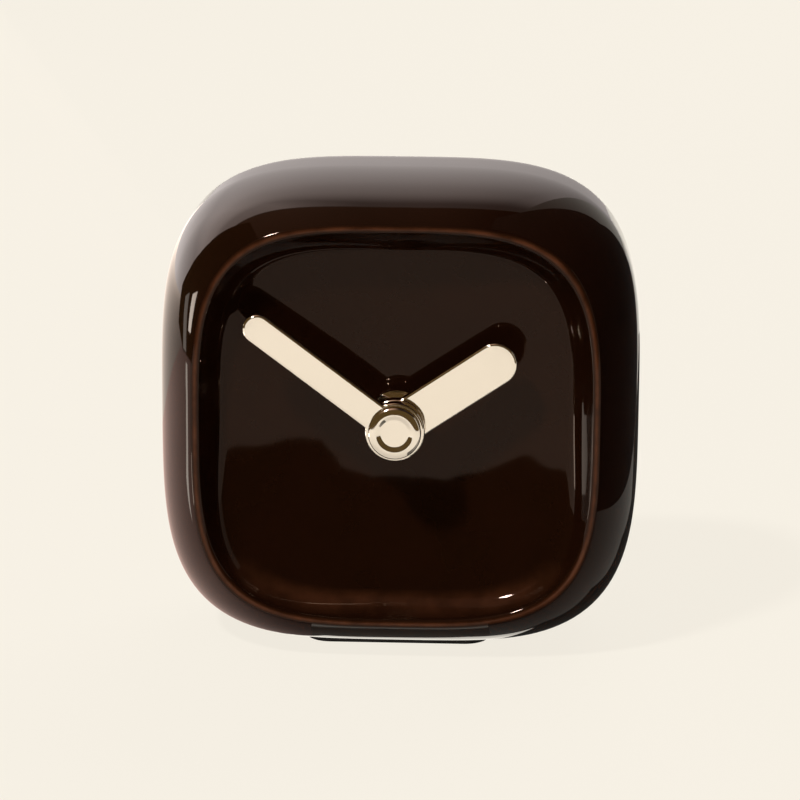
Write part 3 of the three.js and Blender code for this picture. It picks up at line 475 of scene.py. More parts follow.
class ShellProfile:
    """The side profile of the shell, as rings from the bore over the front and round to the cavity."""

    def __init__(self, shell):
        self.shell = shell
        self.crest_y = shell_low.y
        self.middle_z = DIAL_AXIS.z
        self.floor_z = shell_low.z
        rise = math.sqrt(
            (shell.side_round - shell.rim_round) ** 2 - (shell.side_round - shell.rim_inset) ** 2
        )
        self.front_end = math.atan2(rise, shell.side_round - shell.rim_inset)
        self.front_y = self.crest_y + shell.rim_round + rise
        self.lip = shell.wall / 2
        self.lip_centre = shell.side_round - self.lip
        self.rear_y = self.crest_y + shell.depth - self.lip - self.lip_centre * math.sin(shell.mouth_reach)
        self.dial_y = self.crest_y + shell.dial_depth
        self.dial_half = shell.width / 2 - shell.rim_inset - shell.cove_width

    def dish_y(self, x, z):
        up = z - self.middle_z - self.shell.dish_lift
        return self.dial_y - (x**2 + up**2) / (2 * self.shell.dish_radius)

    def point(self, k, half, taller, power, y):
        """One point of a squircle round the dial axis, softly clamped to the flat of the foot."""
        turn = 2 * math.pi * k / self.shell.points
        c, s = math.cos(turn), math.sin(turn)
        across, up = abs(c) / half, abs(s) / (half + taller)
        r = (across**power + up**power) ** (-1 / power)
        over = (self.middle_z + r * s - self.floor_z) / self.shell.foot_soft
        rise = over if over > 30 else math.log1p(math.exp(over))
        return r * c, y, self.floor_z + rise * self.shell.foot_soft

    def inset_point(self, k, inset, y):
        """A point of the outline drawn in by an inset, softening a little from the outside to the rim."""
        shell = self.shell
        share = min(1, max(0, inset / shell.rim_inset))
        power = shell.outline_power + (shell.rim_power - shell.outline_power) * share
        return self.point(k, shell.width / 2 - inset, (shell.height - shell.width) / 2, power, y)

    def around(self, place):
        return [place(k) for k in range(self.shell.points)]

    def dial_ring(self, share, level):
        """Circles at the bore that grow into the squircle of the dial's edge, share 0 to 1."""
        shell = self.shell
        half = shell.bore_radius + (self.dial_half - shell.bore_radius) * share
        taller = share * (shell.height - shell.width) / 2
        power = 2 + (shell.rim_power - 2) * share
        flat = self.around(lambda k: self.point(k, half, taller, power, 0))
        return [(x, level(x, z), z) for x, _, z in flat]

    def arc_rings(self, inset, y, radius, start, end, count, towards):
        """Rings along an arc of the side profile. Angle 0 faces the side, 90 degrees the front or back."""
        rings = []
        for i in range(count + 1):
            turn = start + (end - start) * i / count
            out, along = radius * math.cos(turn), towards * radius * math.sin(turn)
            rings.append(self.around(lambda k: self.inset_point(k, inset - out, y + along)))
        return rings

    def cove_rings(self, count):
        """The hollow curve from the dial's edge up to the dial side of the crest."""
        shell = self.shell
        down = Vector((math.cos(shell.rim_slope), math.sin(shell.rim_slope)))
        crest = Vector(
            (shell.rim_inset + shell.rim_round * down.y, self.crest_y + shell.rim_round * (1 - down.x))
        )
        curves = []
        for x, y, z in self.dial_ring(1, self.dish_y):
            edge = Vector((shell.rim_inset + shell.cove_width, y))
            up = z - self.middle_z
            offset = (x**2 + up * (up - shell.dish_lift)) / math.hypot(x, up)
            out = Vector((-shell.dish_radius, -offset)).normalized()
            corner = crest + (edge - crest).cross(out) / down.cross(out) * down
            near_edge = edge.lerp(corner, shell.cove_firmness)
            near_crest = crest.lerp(corner, shell.cove_firmness)
            curves.append(interpolate_bezier(edge, near_edge, near_crest, crest, count + 1))
        return [self.around(lambda k: self.inset_point(k, *curves[k][i])) for i in range(1, count)]


# How many rings each stretch of the shell's side profile has.
DIAL_RINGS, COVE_RINGS = 24, 14
RIM_INNER_RINGS, RIM_OUTER_RINGS = 8, 6
FRONT_RINGS, REAR_RINGS, LIP_RINGS = 22, 16, 12
CAVITY_REAR_RINGS, CAVITY_FRONT_RINGS = 10, 8


def shell_rings(profile):
    """All rings of the shell, by stretch of its side profile, from the bore over the front to the cavity."""
    shell = profile.shell
    reach = shell.mouth_reach
    crest = (shell.rim_inset, profile.crest_y + shell.rim_round, shell.rim_round)
    lip = (
        shell.side_round - profile.lip_centre * math.cos(reach),
        profile.rear_y + profile.lip_centre * math.sin(reach),
        profile.lip,
    )
    outer, inner = shell.side_round, shell.side_round - shell.wall
    seat_share = (shell.seat_radius - shell.bore_radius) / (profile.dial_half - shell.bore_radius)
    dial = [profile.dial_ring(k / DIAL_RINGS, profile.dish_y) for k in range(DIAL_RINGS + 1)]
    cove = profile.cove_rings(COVE_RINGS)
    rim = profile.arc_rings(*crest, QUARTER_TURN + shell.rim_slope, QUARTER_TURN, RIM_INNER_RINGS, -1)
    rim += profile.arc_rings(*crest, QUARTER_TURN, profile.front_end, RIM_OUTER_RINGS, -1)[1:]
    sides = profile.arc_rings(outer, profile.front_y, outer, profile.front_end, 0, FRONT_RINGS, -1)[1:]
    sides += profile.arc_rings(outer, profile.rear_y, outer, 0, reach, REAR_RINGS, 1)
    mouth = profile.arc_rings(*lip, reach, reach + HALF_TURN, LIP_RINGS, 1)[1:]
    inside = profile.arc_rings(outer, profile.rear_y, inner, reach, 0, CAVITY_REAR_RINGS, 1)[1:]
    inside += profile.arc_rings(
        outer, profile.front_y, inner, 0, shell.cavity_reach, CAVITY_FRONT_RINGS, -1
    )
    inside += [
        profile.dial_ring(1, lambda x, z: profile.dish_y(x, z) + shell.dial_wall),
        profile.dial_ring(seat_share, lambda x, z: profile.dial_y + shell.dial_wall),
        profile.dial_ring(0, lambda x, z: profile.dial_y + shell.dial_wall),
    ]
    return {"dial": dial, "cove": cove, "rim": rim, "sides": sides, "mouth": mouth, "inside": inside}


class CLOCK_OT_shell(bpy.types.Operator):
    """Builds the glazed shell with its dished dial, rim, foot and open back"""

    bl_idname = "clock.shell"
    bl_label = "Glazed shell"

    def execute(self, context):
        shell = context.scene.clock_shell
        profile = ShellProfile(shell)
        parts = shell_rings(profile)
        piece = add_piece(
            "glazed_shell",
            [ring for rings in parts.values() for ring in rings],
            glazed_stoneware(context.scene.clock_colours),
            "case",
            stands_for=["case_body"],
            sharp=60,
        )
        self.paint(piece.data, profile, parts)
        return {"FINISHED"}

    def paint(self, mesh, profile, parts):
        """Stores how well the glaze covers each point, where it is thin on the rim and the lip, and the
        painted light in the low part of the cove, in the same attribute. The inside and the ground of the
        foot are bare."""
        cover, edge_and_cove_light = [], []
        edge_width, lip_share, ground_soft, cove_light = 0.4 * MM, 0.6, 0.3 * MM, 0.35
        bare_from, bare_over = 0.22, 0.16
        crest = Vector((profile.shell.width / 2 - profile.shell.rim_inset, profile.crest_y))
        lip = Vector(max((ring[0][:2] for ring in parts["mouth"]), key=lambda p: p[1]))
        for name, rings in parts.items():
            for i, ring in enumerate(rings):
                here = Vector(ring[0][:2])
                off_edge = min((here - crest).length, lip_share * (here - lip).length)
                edge = math.exp(-((off_edge / edge_width) ** 2))
                # Painted light in the cove, strongest halfway along it.
                painted_cove_light = cove_light * math.sin(math.pi * (i + 1) / (len(rings) + 1)) if name == "cove" else 0
                for k, point in enumerate(ring):
                    turn = 2 * math.pi * k / len(ring)
                    # The glaze ends inside in an uneven line.
                    runs = 0.05 * math.sin(7 * turn) + 0.03 * math.sin(23 * turn)
                    inside = (i / len(rings) + runs - bare_from) / bare_over if name == "inside" else -1
                    ground = (profile.floor_z + ground_soft - point[2]) / ground_soft
                    cover.append(min(1, max(0, 0.5 - max(inside, ground))))
                    # In the cove the painted light grows from four fifths of the way down to the edge of the
                    # dial.
                    fall = (profile.middle_z - point[2]) / profile.dial_half
                    edge_and_cove_light.append(max(edge, painted_cove_light * min(1, max(0, 5 * fall - 4))))
        mesh.attributes.new("cover", "FLOAT", "POINT").data.foreach_set("value", cover)
        mesh.attributes.new("edge_and_cove_light", "FLOAT", "POINT").data.foreach_set("value", edge_and_cove_light)


class CLOCK_OT_foot_pad(bpy.types.Operator):
    """Finishes the non-slip pad under the foot"""

    bl_idname = "clock.foot_pad"
    bl_label = "Foot pad"

    def execute(self, context):
        colours = context.scene.clock_colours
        # Die-cut black rubber sheet: matt, with the fine grain of its press cloth and a softened cut edge.
        rubber = grained("Die-cut rubber", colours.rubber, 0.5, 0.82, 0.08)
        dress(["base_pad", "gasket"], rubber, bevel=0.25)
        return {"FINISHED"}


TIP_STEPS, BAR_STEPS, HUB_STEPS, CAP_POINTS = 28, 12, 56, 96


def hand_loop(reach, half, hub, inset, angle_from_twelve, y):
    """The outline of a bar hand, drawn in by an inset, at one depth."""
    half, hub = half - inset, hub - inset
    tip = reach - inset - half
    meet = math.acos(half / hub)
    root = hub * math.sin(meet)
    shares = [k / BAR_STEPS for k in range(1, BAR_STEPS)]
    outline = arc(0, tip, half, 0, 180, TIP_STEPS)
    outline += [(-half, tip + (root - tip) * share) for share in shares]
    outline += arc(0, 0, hub, 180 - math.degrees(meet), 360 + math.degrees(meet), HUB_STEPS)
    outline += [(half, root + (tip - root) * share) for share in shares]
    turn = Matrix.Rotation(-angle_from_twelve, 2)
    points = [turn @ Vector(p) for p in outline]
    return [(DIAL_AXIS.x + p.x, y, DIAL_AXIS.z + p.y) for p in points]


def bore_loop(outline, radius, y):
    """The same number of points on a bore, each on the line from the axis to a point of the outline."""
    points = []
    for x, _, z in outline:
        away = Vector((x - DIAL_AXIS.x, z - DIAL_AXIS.z)).normalized() * radius
        points.append((DIAL_AXIS.x + away.x, y, DIAL_AXIS.z + away.y))
    return points


class CLOCK_OT_hands(bpy.types.Operator):
    """Builds the two bar hands with polished edges, and the cap over their hub"""

    bl_idname = "clock.hands"
    bl_label = "Hands and cap"

    def execute(self, context):
        hands = context.scene.clock_hands
        brass = polished_brass(context.scene.clock_colours)
        for body in ("hour", "minute"):
            self.hand(hands, body, brass)
        self.cap(hands, brass)
        dress(["hour_hand_bush", "minute_hand_bush", "dial_washer", "fixing_nut", "threaded_bushing"], brass)
        return {"FINISHED"}

    def hand(self, hands, body, brass):
        sizes = ("reach", "width", "angle", "bore")
        reach, width, turn, bore = (getattr(hands, f"{body}_{size}") for size in sizes)
        low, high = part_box(body + "_hand")
        edge = hands.edge_round
        turns = even_turns(QUARTER_TURN, 5)
        rounds = [(edge * (1 - math.sin(t)), edge * (1 - math.cos(t))) for t in turns]

        def leaned(points):
            along = Vector((math.sin(turn), 0, math.cos(turn))) * math.tan(hands.lean)
            return [(x, y - max(0, along.dot(Vector((x, y, z)) - DIAL_AXIS)), z) for x, y, z in points]

        def loop(inset, y):
            return leaned(hand_loop(reach, width / 2, hands.hub_radius, inset, turn, y))

        front = [loop(inset, low.y + fall) for inset, fall in rounds]
        back = [loop(inset, high.y - fall) for inset, fall in reversed(rounds)]
        # A narrow band inside each edge keeps the flats flat in the shading.
        held = edge + 0.03 * MM
        faces = [loop(held, low.y), *front, *back, loop(held, high.y)]
        bores = [leaned(bore_loop(faces[0], bore, y)) for y in (low.y, high.y)]
        loops = [bores[0], *faces, bores[1]]
        add_piece(body + "_bar", loops, brass, body, stands_for=[body + "_hand"], sharp=35)

    def cap(self, hands, brass):
        """A round nut, domed round a shallow hollow with a flat bottom."""
        front, back = cap_low.y, cap_high.y
        radius = (cap_high.x - cap_low.x) / 2
        dish_y = front + hands.cap_dish_depth
        soft, chamfer = 0.05 * MM, 0.12 * MM
        slope = (hands.cap_dish - hands.cap_flat) / hands.cap_dish_depth
        dish = [(0, dish_y), *((hands.cap_flat - k * soft, dish_y) for k in (3, 1))]
        dish += [(hands.cap_flat + k * soft * slope, dish_y - k * soft) for k in (1, 2)]
        lip = [(hands.cap_dish - k * soft * slope, front + k * soft) for k in (2, 1)]
        lip.append((hands.cap_dish + soft, front))
        top = hands.cap_dish + 3 * soft
        edge = [
            (top + (radius - top) * math.sin(t), front + hands.cap_crown * (1 - math.cos(t)))
            for t in even_turns(QUARTER_TURN, 12)
        ]
        rear = [(radius, back - chamfer), (radius - chamfer, back), (0, back)]
        add_piece(
            "cap_nut",
            turned([*dish, *lip, *edge, *rear], DIAL_AXIS, CAP_POINTS),
            brass,
            "minute",
            stands_for=["hand_cap"],
            closed=False,
        )


class CLOCK_OT_housing(bpy.types.Operator):
    """Finishes the moulded housing of the movement: its edges, clips, collar, turning arrow and signs"""

    bl_idname = "clock.housing"
    bl_label = "Movement housing"

    def execute(self, context):
        colours = context.scene.clock_colours
        # Black moulded polystyrene: a fine spark-eroded grain with soft sheen on its rounded edges.
        housing = grained("Moulded black plastic", colours.housing, 0.35, 0.5, 0.05)
        dress(["movement_front_case", "movement_back_cover", "train_bridge"], housing, bevel=0.3)
        # The same plastic where the mould was polished, so that marks stand out by their sheen.
        polished = grained("Polished black plastic", colours.mark, 1.2, 0.3, 0.02)
        low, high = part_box("movement_back_cover")
        knob_low, knob_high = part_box("setting_knob")
        knob = (knob_low + knob_high) / 2
        knob_radius = (knob_high.x - knob_low.x) / 2
        collar_gap, arrow_gap = 0.7 * MM, 4.2 * MM
        self.collar(knob, knob_radius + collar_gap, high.y, housing)
        self.border(low, high, housing)
        self.arrow(knob, knob_radius + arrow_gap, high.y, polished)
        self.clips(low, high, housing)
        self.signs(polished)
        return {"FINISHED"}

    def collar(self, knob, inner, foot, material):
        """A low ring round the knob."""
        width, height = 1.3 * MM, 0.55 * MM
        wall = 0.4  # share of the height that is upright
        top = [
            (inner + width / 2 * (1 - math.cos(t)), foot + height * (wall + (1 - wall) * math.sin(t)))
            for t in even_turns(HALF_TURN, 8)
        ]
        profile = [(inner, foot), *top, (inner + width, foot)]
        add_piece("knob_collar", turned(profile, knob), material, "case")

    def border(self, low, high, material):
        """A raised bead just inside the edge of the cover."""
        corner, bead, height, inset = 3 * MM, 1.1 * MM, 0.45 * MM, 1.4 * MM
        loops = []
        for turn in even_turns(HALF_TURN, 8):
            drawn = inset + bead / 2 * (1 - math.cos(turn))
            y = high.y + height * math.sin(turn)
            loops.append(self.frame_loop(low, high, drawn, corner, y))
        add_piece("cover_bead", loops, material, "case")

    def frame_loop(self, low, high, inset, corner, y):
        """A rounded rectangle inside the cover's outline."""
        least = 0.6 * MM
        radius = max(corner - inset, least)
        points = []
        for quarter, (x, z) in enumerate(((1, 1), (-1, 1), (-1, -1), (1, -1))):
            cx = (high.x if x > 0 else low.x) - x * (inset + radius)
            cz = (high.z if z > 0 else low.z) - z * (inset + radius)
            points += arc(cx, cz, radius, 90 * quarter, 90 * quarter + 90, 8)
        return [(px, y, pz) for px, pz in points]

    def arrow(self, knob, radius, foot, material):
        """A curved arrow beside the knob, which shows that it sets the hands."""
        bar, head, height, soft = 0.55 * MM, 1.6 * MM, 0.3 * MM, 0.08 * MM
        first, last, tip = 20, 150, 170
        along = [first + turn for turn in even_turns(last - first, 24)]
        widths = [(first, 0), *((turn, bar) for turn in along), (last, head), (tip, 0)]
        loops = []
        for turn, half in widths:
            edge = min(soft, half)
            side = [(half, 0), (half, height - edge), (half - edge, height)]
            section = [(-out, up) for out, up in side] + side[::-1]
            c, s = math.cos(math.radians(turn)), math.sin(math.radians(turn))
            loops.append(
                [(knob.x + (radius + out) * c, foot + up, knob.z + (radius + out) * s) for out, up in section]
            )
        add_piece("setting_arrow", loops, material, "case", closed=False, sharp=30)

    def clips(self, low, high, material):
        """Four snap clips that hold the cover to the tray."""
        tray_low, tray_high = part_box("movement_front_case")
        proud, inset, tall, deep = 0.35 * MM, 9 * MM, 6 * MM, 6 * MM
        for side, x in (("left", tray_low.x - proud), ("right", tray_high.x + proud)):
            for level, z in enumerate((low.z + inset, high.z - inset)):
                outline = box_outline(x, z, 2 * proud, tall)
                raised(f"cover_clip_{side}_{level}", outline, high.y - deep, high.y, material)

    def signs(self, material):
        """Plus and minus on the floor of the battery bay."""
        cell_low, cell_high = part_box("battery")
        under_cell, height = 0.3 * MM, 0.25 * MM
        inset, rise, arm, bar = 5 * MM, 3 * MM, 3.2 * MM, 0.8 * MM
        foot = cell_low.y - under_cell
        top = foot + height
        z = cell_low.z + rise
        raised("minus_sign", box_outline(cell_low.x + inset, z, arm, bar), foot, top, material)
        raised("plus_sign_across", box_outline(cell_high.x - inset, z, arm, bar), foot, top, material)
        raised("plus_sign_up", box_outline(cell_high.x - inset, z, bar, arm), foot, top, material)


class CLOCK_OT_knob(bpy.types.Operator):
    """Builds the fluted knob that sets the hands"""

    bl_idname = "clock.knob"
    bl_label = "Setting knob"

    def execute(self, context):
        low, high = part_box("setting_knob")
        middle = (low + high) / 2
        radius = (high.x - low.x) / 2
        flutes, depth, fullness, points_each = 18, 0.5 * MM, 0.7, 12
        count = flutes * points_each

        def loop(inset, share, y):
            points = []
            for k in range(count):
                turn = 2 * math.pi * k / count
                r = radius - inset - share * depth * (0.5 - 0.5 * math.cos(flutes * turn)) ** fullness
                points.append((middle.x + r * math.cos(turn), y, middle.z + r * math.sin(turn)))
            return points

        edge, rim, chamfer = 0.45 * MM, 1.6 * MM, 0.3 * MM
        well, well_slope, lip_width, lip_fall = 0.7 * MM, 0.5 * MM, 0.15 * MM, 0.1 * MM
        loops = [loop(radius, 0, low.y), loop(chamfer, 1, low.y), loop(0, 1, low.y + chamfer)]
        loops += [
            loop(edge * (1 - math.cos(a)), 1 - a / math.pi, high.y - edge * (1 - math.sin(a)))
            for a in even_turns(QUARTER_TURN, 5)
        ]
        loops += [
            loop(rim, 0, high.y),
            loop(rim + lip_width, 0, high.y - lip_fall),
            loop(rim + well_slope, 0, high.y - well),
            loop(radius, 0, high.y - well),
        ]
        # Black moulded acetal: a little waxier and smoother than the housing.
        acetal = grained("Moulded black acetal", context.scene.clock_colours.housing, 0.5, 0.38, 0.03)
        add_piece(
            "fluted_knob",
            loops,
            acetal,
            "setting",
            stands_for=["setting_knob"],
            closed=False,
            sharp=35,
        )
        return {"FINISHED"}


class CLOCK_OT_works(bpy.types.Operator):
    """Finishes the works inside the housing: wheels, arbors, motor, coil, circuit and contacts"""

    bl_idname = "clock.works"
    bl_label = "Works"

    def execute(self, context):
        colours = context.scene.clock_colours
        # A drop of black epoxy over the chip: smooth and glossy.
        dress(["timing_chip"], grained("Potting resin", colours.housing, 1.5, 0.25, 0.02), bevel=0)
        # Acetal wheels: milky white with a waxy sheen.
        wheels = grained("Moulded acetal", colours.wheels, 0.6, 0.42, 0.02)
        train = ["center_wheel", "third_wheel", "fourth_wheel", "fifth_wheel"]
        dress([*train, "hour_wheel", "minute_work_wheel", "coil_bobbin"], wheels, bevel=0)
        # Drawn and rolled steel: bright, with fine drawing marks.
        steel = grained("Drawn steel", colours.steel, 0.25, 0.28, 0.01, Metallic=1.0)
        dress(["minute_arbor", "rotor_pinion", "quartz_crystal"], steel, bevel=0)
        dress(["contact_positive", "contact_negative"], steel, bevel=0.1)
        # Stamped soft iron, annealed: dull grey with a rolled grain.
        iron = grained("Annealed soft iron", colours.iron, 0.4, 0.5, 0.02, Metallic=1.0)
        dress(["stator_plate", "coil_core"], iron)
        # Sintered magnet: nearly black, with a granular surface.
        magnet = grained("Sintered magnet", colours.magnet, 0.2, 0.55, 0.03, Metallic=0.6)
        dress(["rotor_magnet"], magnet, bevel=0)
        dress(["coil_winding"], wound_wire(colours), bevel=0)
        # Phenolic paper board: brown, with the mottle of its paper.
        dress(["circuit_board"], grained("Phenolic paper board", colours.board, 1.2, 0.6, 0.03))
        return {"FINISHED"}


class CLOCK_OT_cell(bpy.types.Operator):
    """Builds the dry cell: a steel can in a plain film sleeve with a pale band at its positive end"""

    bl_idname = "clock.cell"
    bl_label = "Dry cell"

    def execute(self, context):
        colours = context.scene.clock_colours
        low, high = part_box("battery")
        middle = (low + high) / 2
        radius = (high.z - low.z) / 2
        nub, nub_radius, nub_soft = 1.2 * MM, 2.75 * MM, 0.3 * MM
        dish, dish_edge, dish_depth, foot = 4 * MM, 4.4 * MM, 0.2 * MM, 5.6 * MM
        film, foot_round, corner = 0.12 * MM, 0.7 * MM, 0.9 * MM
        groove_outer, groove_bottom, groove_inner, groove_depth = 5 * MM, 4.7 * MM, 3.6 * MM, 0.3 * MM
        back, shoulder = low.x, high.x - nub
        # Nickel-plated steel can: bright and smooth.
        plated = grained("Nickel plated steel", colours.steel, 0.8, 0.22, 0.01, Metallic=1.0)
        minus_end = [(0, back + dish_depth), (dish, back + dish_depth), (dish_edge, back), (foot, back)]
        body = [
            (radius - film, back + foot_round),
            (radius - film, shoulder - corner),
            (radius - corner, shoulder),
        ]
        groove = [
            (groove_outer, shoulder),
            (groove_bottom, shoulder - groove_depth),
            (groove_inner, shoulder - groove_depth),
        ]
        tip = [
            (nub_radius + nub_soft, shoulder),
            (nub_radius, high.x - nub_soft),
            (nub_radius - nub_soft, high.x),
            (0, high.x),
        ]
        can = turned_along_x([*minus_end, *body, *groove, *tip], middle)
        add_piece("cell_can", can, plated, "cell", ["battery"], closed=False, sharp=35)
        # Printed film shrunk on the can: smooth and slightly glossy, with a lip over each end.
        band_length, bend = 10 * MM, 0.1 * MM
        split = shoulder - band_length
        sleeve = [
            (radius - foot_round, back + 0.35 * MM),
            (radius - bend, back + foot_round),
            (radius, back + 0.95 * MM),
            (radius, split),
            (radius - film, split),
        ]
        band = [
            (radius - film, split),
            (radius, split),
            (radius, shoulder - corner),
            (radius - bend, shoulder - 0.65 * MM),
            (radius - 0.8 * MM, shoulder - 0.3 * MM),
        ]
        films = {"sleeve": (sleeve, colours.sleeve), "band": (band, colours.band)}
        for name, (profile, tone) in films.items():
            shrunk = grained(f"Shrunk film {name}", tone, 2.5, 0.3, 0.03)
            loops = turned_along_x(profile, middle)
            add_piece(f"cell_{name}", loops, shrunk, "cell", closed=False, sharp=50)
        return {"FINISHED"}


# Studio.


class CLOCK_OT_stage(bpy.types.Operator):
    """Sets up the pale floor, the soft lights with their dark flags, the background and the camera"""

    bl_idname = "clock.stage"
    bl_label = "Studio"

    def execute(self, context):
        scene = context.scene
        scene.view_settings.view_transform = "Standard"
        backdrop = scene.clock_colours.backdrop
        floor = self.floor(backdrop)
        self.world(scene, backdrop)
        self.flags()
        self.scrims(backdrop)
        self.lamps(floor)
        self.camera(scene)
        return {"FINISHED"}

    def share(self, tree, camera, mirrored, rest=0.0):
        """One value for rays from the camera, one for mirrored and refracted rays, and one for the rest."""
        path = add_node(tree, "ShaderNodeLightPath").outputs
        bounced = add_node(
            tree,
            "ShaderNodeMath",
            {0: path["Is Glossy Ray"], 1: path["Is Transmission Ray"]},
            operation="MAXIMUM",
        )
        bounced = bounced.outputs["Value"]
        value = add_node(tree, "ShaderNodeMapRange", {"Value": bounced, TO_MIN: rest, TO_MAX: mirrored})
        direct = add_node(
            tree,
            "ShaderNodeMix",
            {MIX_SHARE: path["Is Camera Ray"], MIX_VALUE_A: value.outputs["Result"], MIX_VALUE_B: camera},
        )
        return direct.outputs[MIXED_VALUE]

    def card(self, name, corners, material):
        """A flat card of the stage, with its corners in order."""
        mesh = bpy.data.meshes.new(name)
        mesh.from_pydata(corners, [], [range(len(corners))])
        mesh.materials.append(material)
        card = bpy.data.objects.new(name, mesh)
        bpy.context.scene.collection.objects.link(card)
        return card

    def floor(self, backdrop):
        # Seamless cream paper, quite matt. Most of its tone is its own, so that it shows as even cream behind
        # the clock, and the rest is lit and keeps the clock's shadow.
        material, tree, shader, _ = finish("Seamless paper", backdrop, Roughness=0.9)
        glow = add_node(tree, "ShaderNodeEmission", {"Color": (*backdrop, 1)})
        own_share = self.share(tree, camera=0.93, mirrored=0.06)
        paper = add_node(
            tree,
            "ShaderNodeMixShader",
            {0: own_share, 1: shader.outputs["BSDF"], 2: glow.outputs["Emission"]},
        )
        tree.links.new(paper.outputs["Shader"], tree.nodes["Material Output"].inputs["Surface"])
        side, back = 2.5, 3.0
        # The front edge has a tongue, which the dial mirrors.
        front = [(-side, -0.36), (-0.07, -0.335), (-0.052, -0.312), (-0.05, -0.36), (-0.043, -0.437)]
        front += [(-0.004, -0.435), (0.008, -0.36), (0.01, -0.308), (side, -0.312)]
        return self.card("floor", [(x, y, 0) for x, y in [*front, (side, back), (-side, back)]], material)

    def world(self, scene, backdrop):
        world = bpy.data.worlds.new("Studio")
        world.use_nodes = True
        scene.world = world
        tree = world.node_tree
        shade = tree.nodes["Background"]
        shade.inputs["Color"].default_value = (*backdrop, 1)
        tree.links.new(self.share(tree, camera=1.0, mirrored=0.6, rest=0.12), shade.inputs["Strength"])

    def flags(self):
        right_x, left_x, front_y, ceiling_z = 0.127, -0.35, -1.5, 1.6
        # A black cloth flag, which the glaze mirrors as the dark right side of the studio.
        black, *_ = finish("Black cloth", linear("#0a0a0a"), Roughness=1.0)
        right = [(-0.06, 0), (0.2, 0), (0.2, 0.06), (0.146, 0.1), (0.1, 0.14), (0.1, 0.8), (-0.06, 0.8)]
        self.mirrored_card("right_flag", [(right_x, y, z) for y, z in right], black)
        # The ceiling is tan and lit a little on its left, which gives the glaze a warm band under the top.
        tan = self.lit_cloth("Tan cloth", linear("#b18f79"), 1.0, ("X", -0.45, 0.35, 0.05))
        ceiling = [(-6, front_y), (2.5, front_y), (2.5, 0.47), (-6, 0.47)]
        self.mirrored_card("ceiling_flag", [(x, y, ceiling_z) for x, y in ceiling], tan)
        # The left and front ones are brown and lit a little, so that the glaze and the brass mirror them as
        # dark brown and dark gold.
        brown = self.lit_cloth("Brown cloth", linear("#574629"), 1.0)
        front = [(-2.5, -0.5), (2.5, -0.5), (2.5, 2), (-2.5, 2)]
        self.mirrored_card("front_flag", [(x, front_y, z) for x, z in front], brown)
        left = [(-0.3, 0.012), (0.13, 0.008), (0.18, 0.028), (0.18, 0.085), (0.145, 0.13), (0.112, 0.2)]
        left += [(0.1, 0.26), (0.1, 0.6), (-0.3, 0.6)]
        self.mirrored_card("left_flag", [(left_x, y, z) for y, z in left], brown)

    def mirrored_card(self, name, corners, material):
        """A card that shows only in what mirrors it."""
        card = self.card(name, corners, material)
        card.visible_camera = False
        card.visible_diffuse = False
        card.visible_shadow = False

    def scrims(self, backdrop):
        rear_y, strip_x = 1.5, -0.345
        card_z, strip_z, gap_z = 0.001, 0.002, 0.0012
        rear = [(-5, 0), (0.5, 0), (1.3, 4.6), (-5, 4.6)]
        self.mirrored_card("rear_scrim", [(x, rear_y, z) for x, z in rear], self.rear_cloth())
        # Two upright strips on the left, which glint beside the rim.
        narrow = [(0.062, 0.038), (0.084, 0.038), (0.071, 0.1), (0.041, 0.117)]
        wide = [(0.1, 0.011), (0.125, 0.011), (0.125, 0.079), (0.095, 0.095)]
        # Cards that lie on the floor. On the left are two warm ones, which tint that side, and two strips
        # that glint.
        #         On the right are painted shade and a painted shadow of the clock, a dim card and a dark one,
        #         which the glaze mirrors and which meet at the edge of the clock's shadow. A lit strip lies
        #         in front of the pad.
        near = [(-0.6, -0.03), (-0.018, -0.03), (-0.018, 0.17), (-0.6, 0.17)]
        far = [(-2.4, 0.17), (-0.056, 0.17), (-0.1, 0.45), (-0.36, 1.49), (-2.4, 1.49)]
        long = [(-0.35, 0.094), (-0.3, 0.072), (-0.215, 0.041), (-0.16, 0.022), (-0.1, -0.003)]
        long += [(-0.157, 0.028), (-0.21, 0.049), (-0.293, 0.084), (-0.35, 0.106)]
        low = [(-0.2, -0.062), (-0.125, -0.062), (-0.125, -0.03), (-0.2, -0.03)]
        shadow = [(0.02, -0.0195), (0.033, -0.019), (0.0525, -0.01), (0.061, 0.004), (0.08, 0.032)]
        shadow += [(0.09, 0.08), (0.125, 0.14)]
        painted_shadow = [*shadow, (0.125, 0.3), (0.02, 0.3)]
        painted_shade = [(0.02, -0.08), (0.125, -0.08), *shadow[::-1]]
        gap = [(0.03, -0.0185), (0.015, -0.0205), (-0.015, -0.0198), (-0.027, -0.0135), (-0.034, -0.004)]
        gap += [(-0.036, 0.01), (-0.024, 0.01), (-0.022, -0.0165), (0.022, -0.0165)]
        warm, pale = linear("#d6b6aa"), linear("#d6c6b9")
        cards = {
            "narrow_scrim": ([(strip_x, y, z) for y, z in narrow], backdrop, 12.0, None),
            "wide_scrim": ([(strip_x, y, z) for y, z in wide], backdrop, 1.9, None),
            "warm_near": ([(x, y, card_z) for x, y in near], warm, 1.4, ("X", -0.055, -0.018, 0.2)),
            "warm_far": ([(x, y, card_z) for x, y in far], pale, 0.2, ("Y", -0.5, 1.4, 4.7)),
            "long_strip": ([(x, y, strip_z) for x, y in long], backdrop, 5.0, None),
            "low_strip": ([(x, y, strip_z) for x, y in low], backdrop, 9.0, None),
            "painted_shade_card": ([(x, y, card_z) for x, y in painted_shade], backdrop, 0.34, ("X", 0.055, 0.022, 0.15)),
            "painted_shadow_card": ([(x, y, card_z) for x, y in painted_shadow], backdrop, 0.04, None),
            "gap_strip": ([(x, y, gap_z) for x, y in gap], backdrop, 1.7, None),
        }
        for name, (corners, tone, strength, fade) in cards.items():
            self.mirrored_card(name, corners, self.lit_cloth(f"Lit cloth {name}", tone, strength, fade))

    def rear_cloth(self):
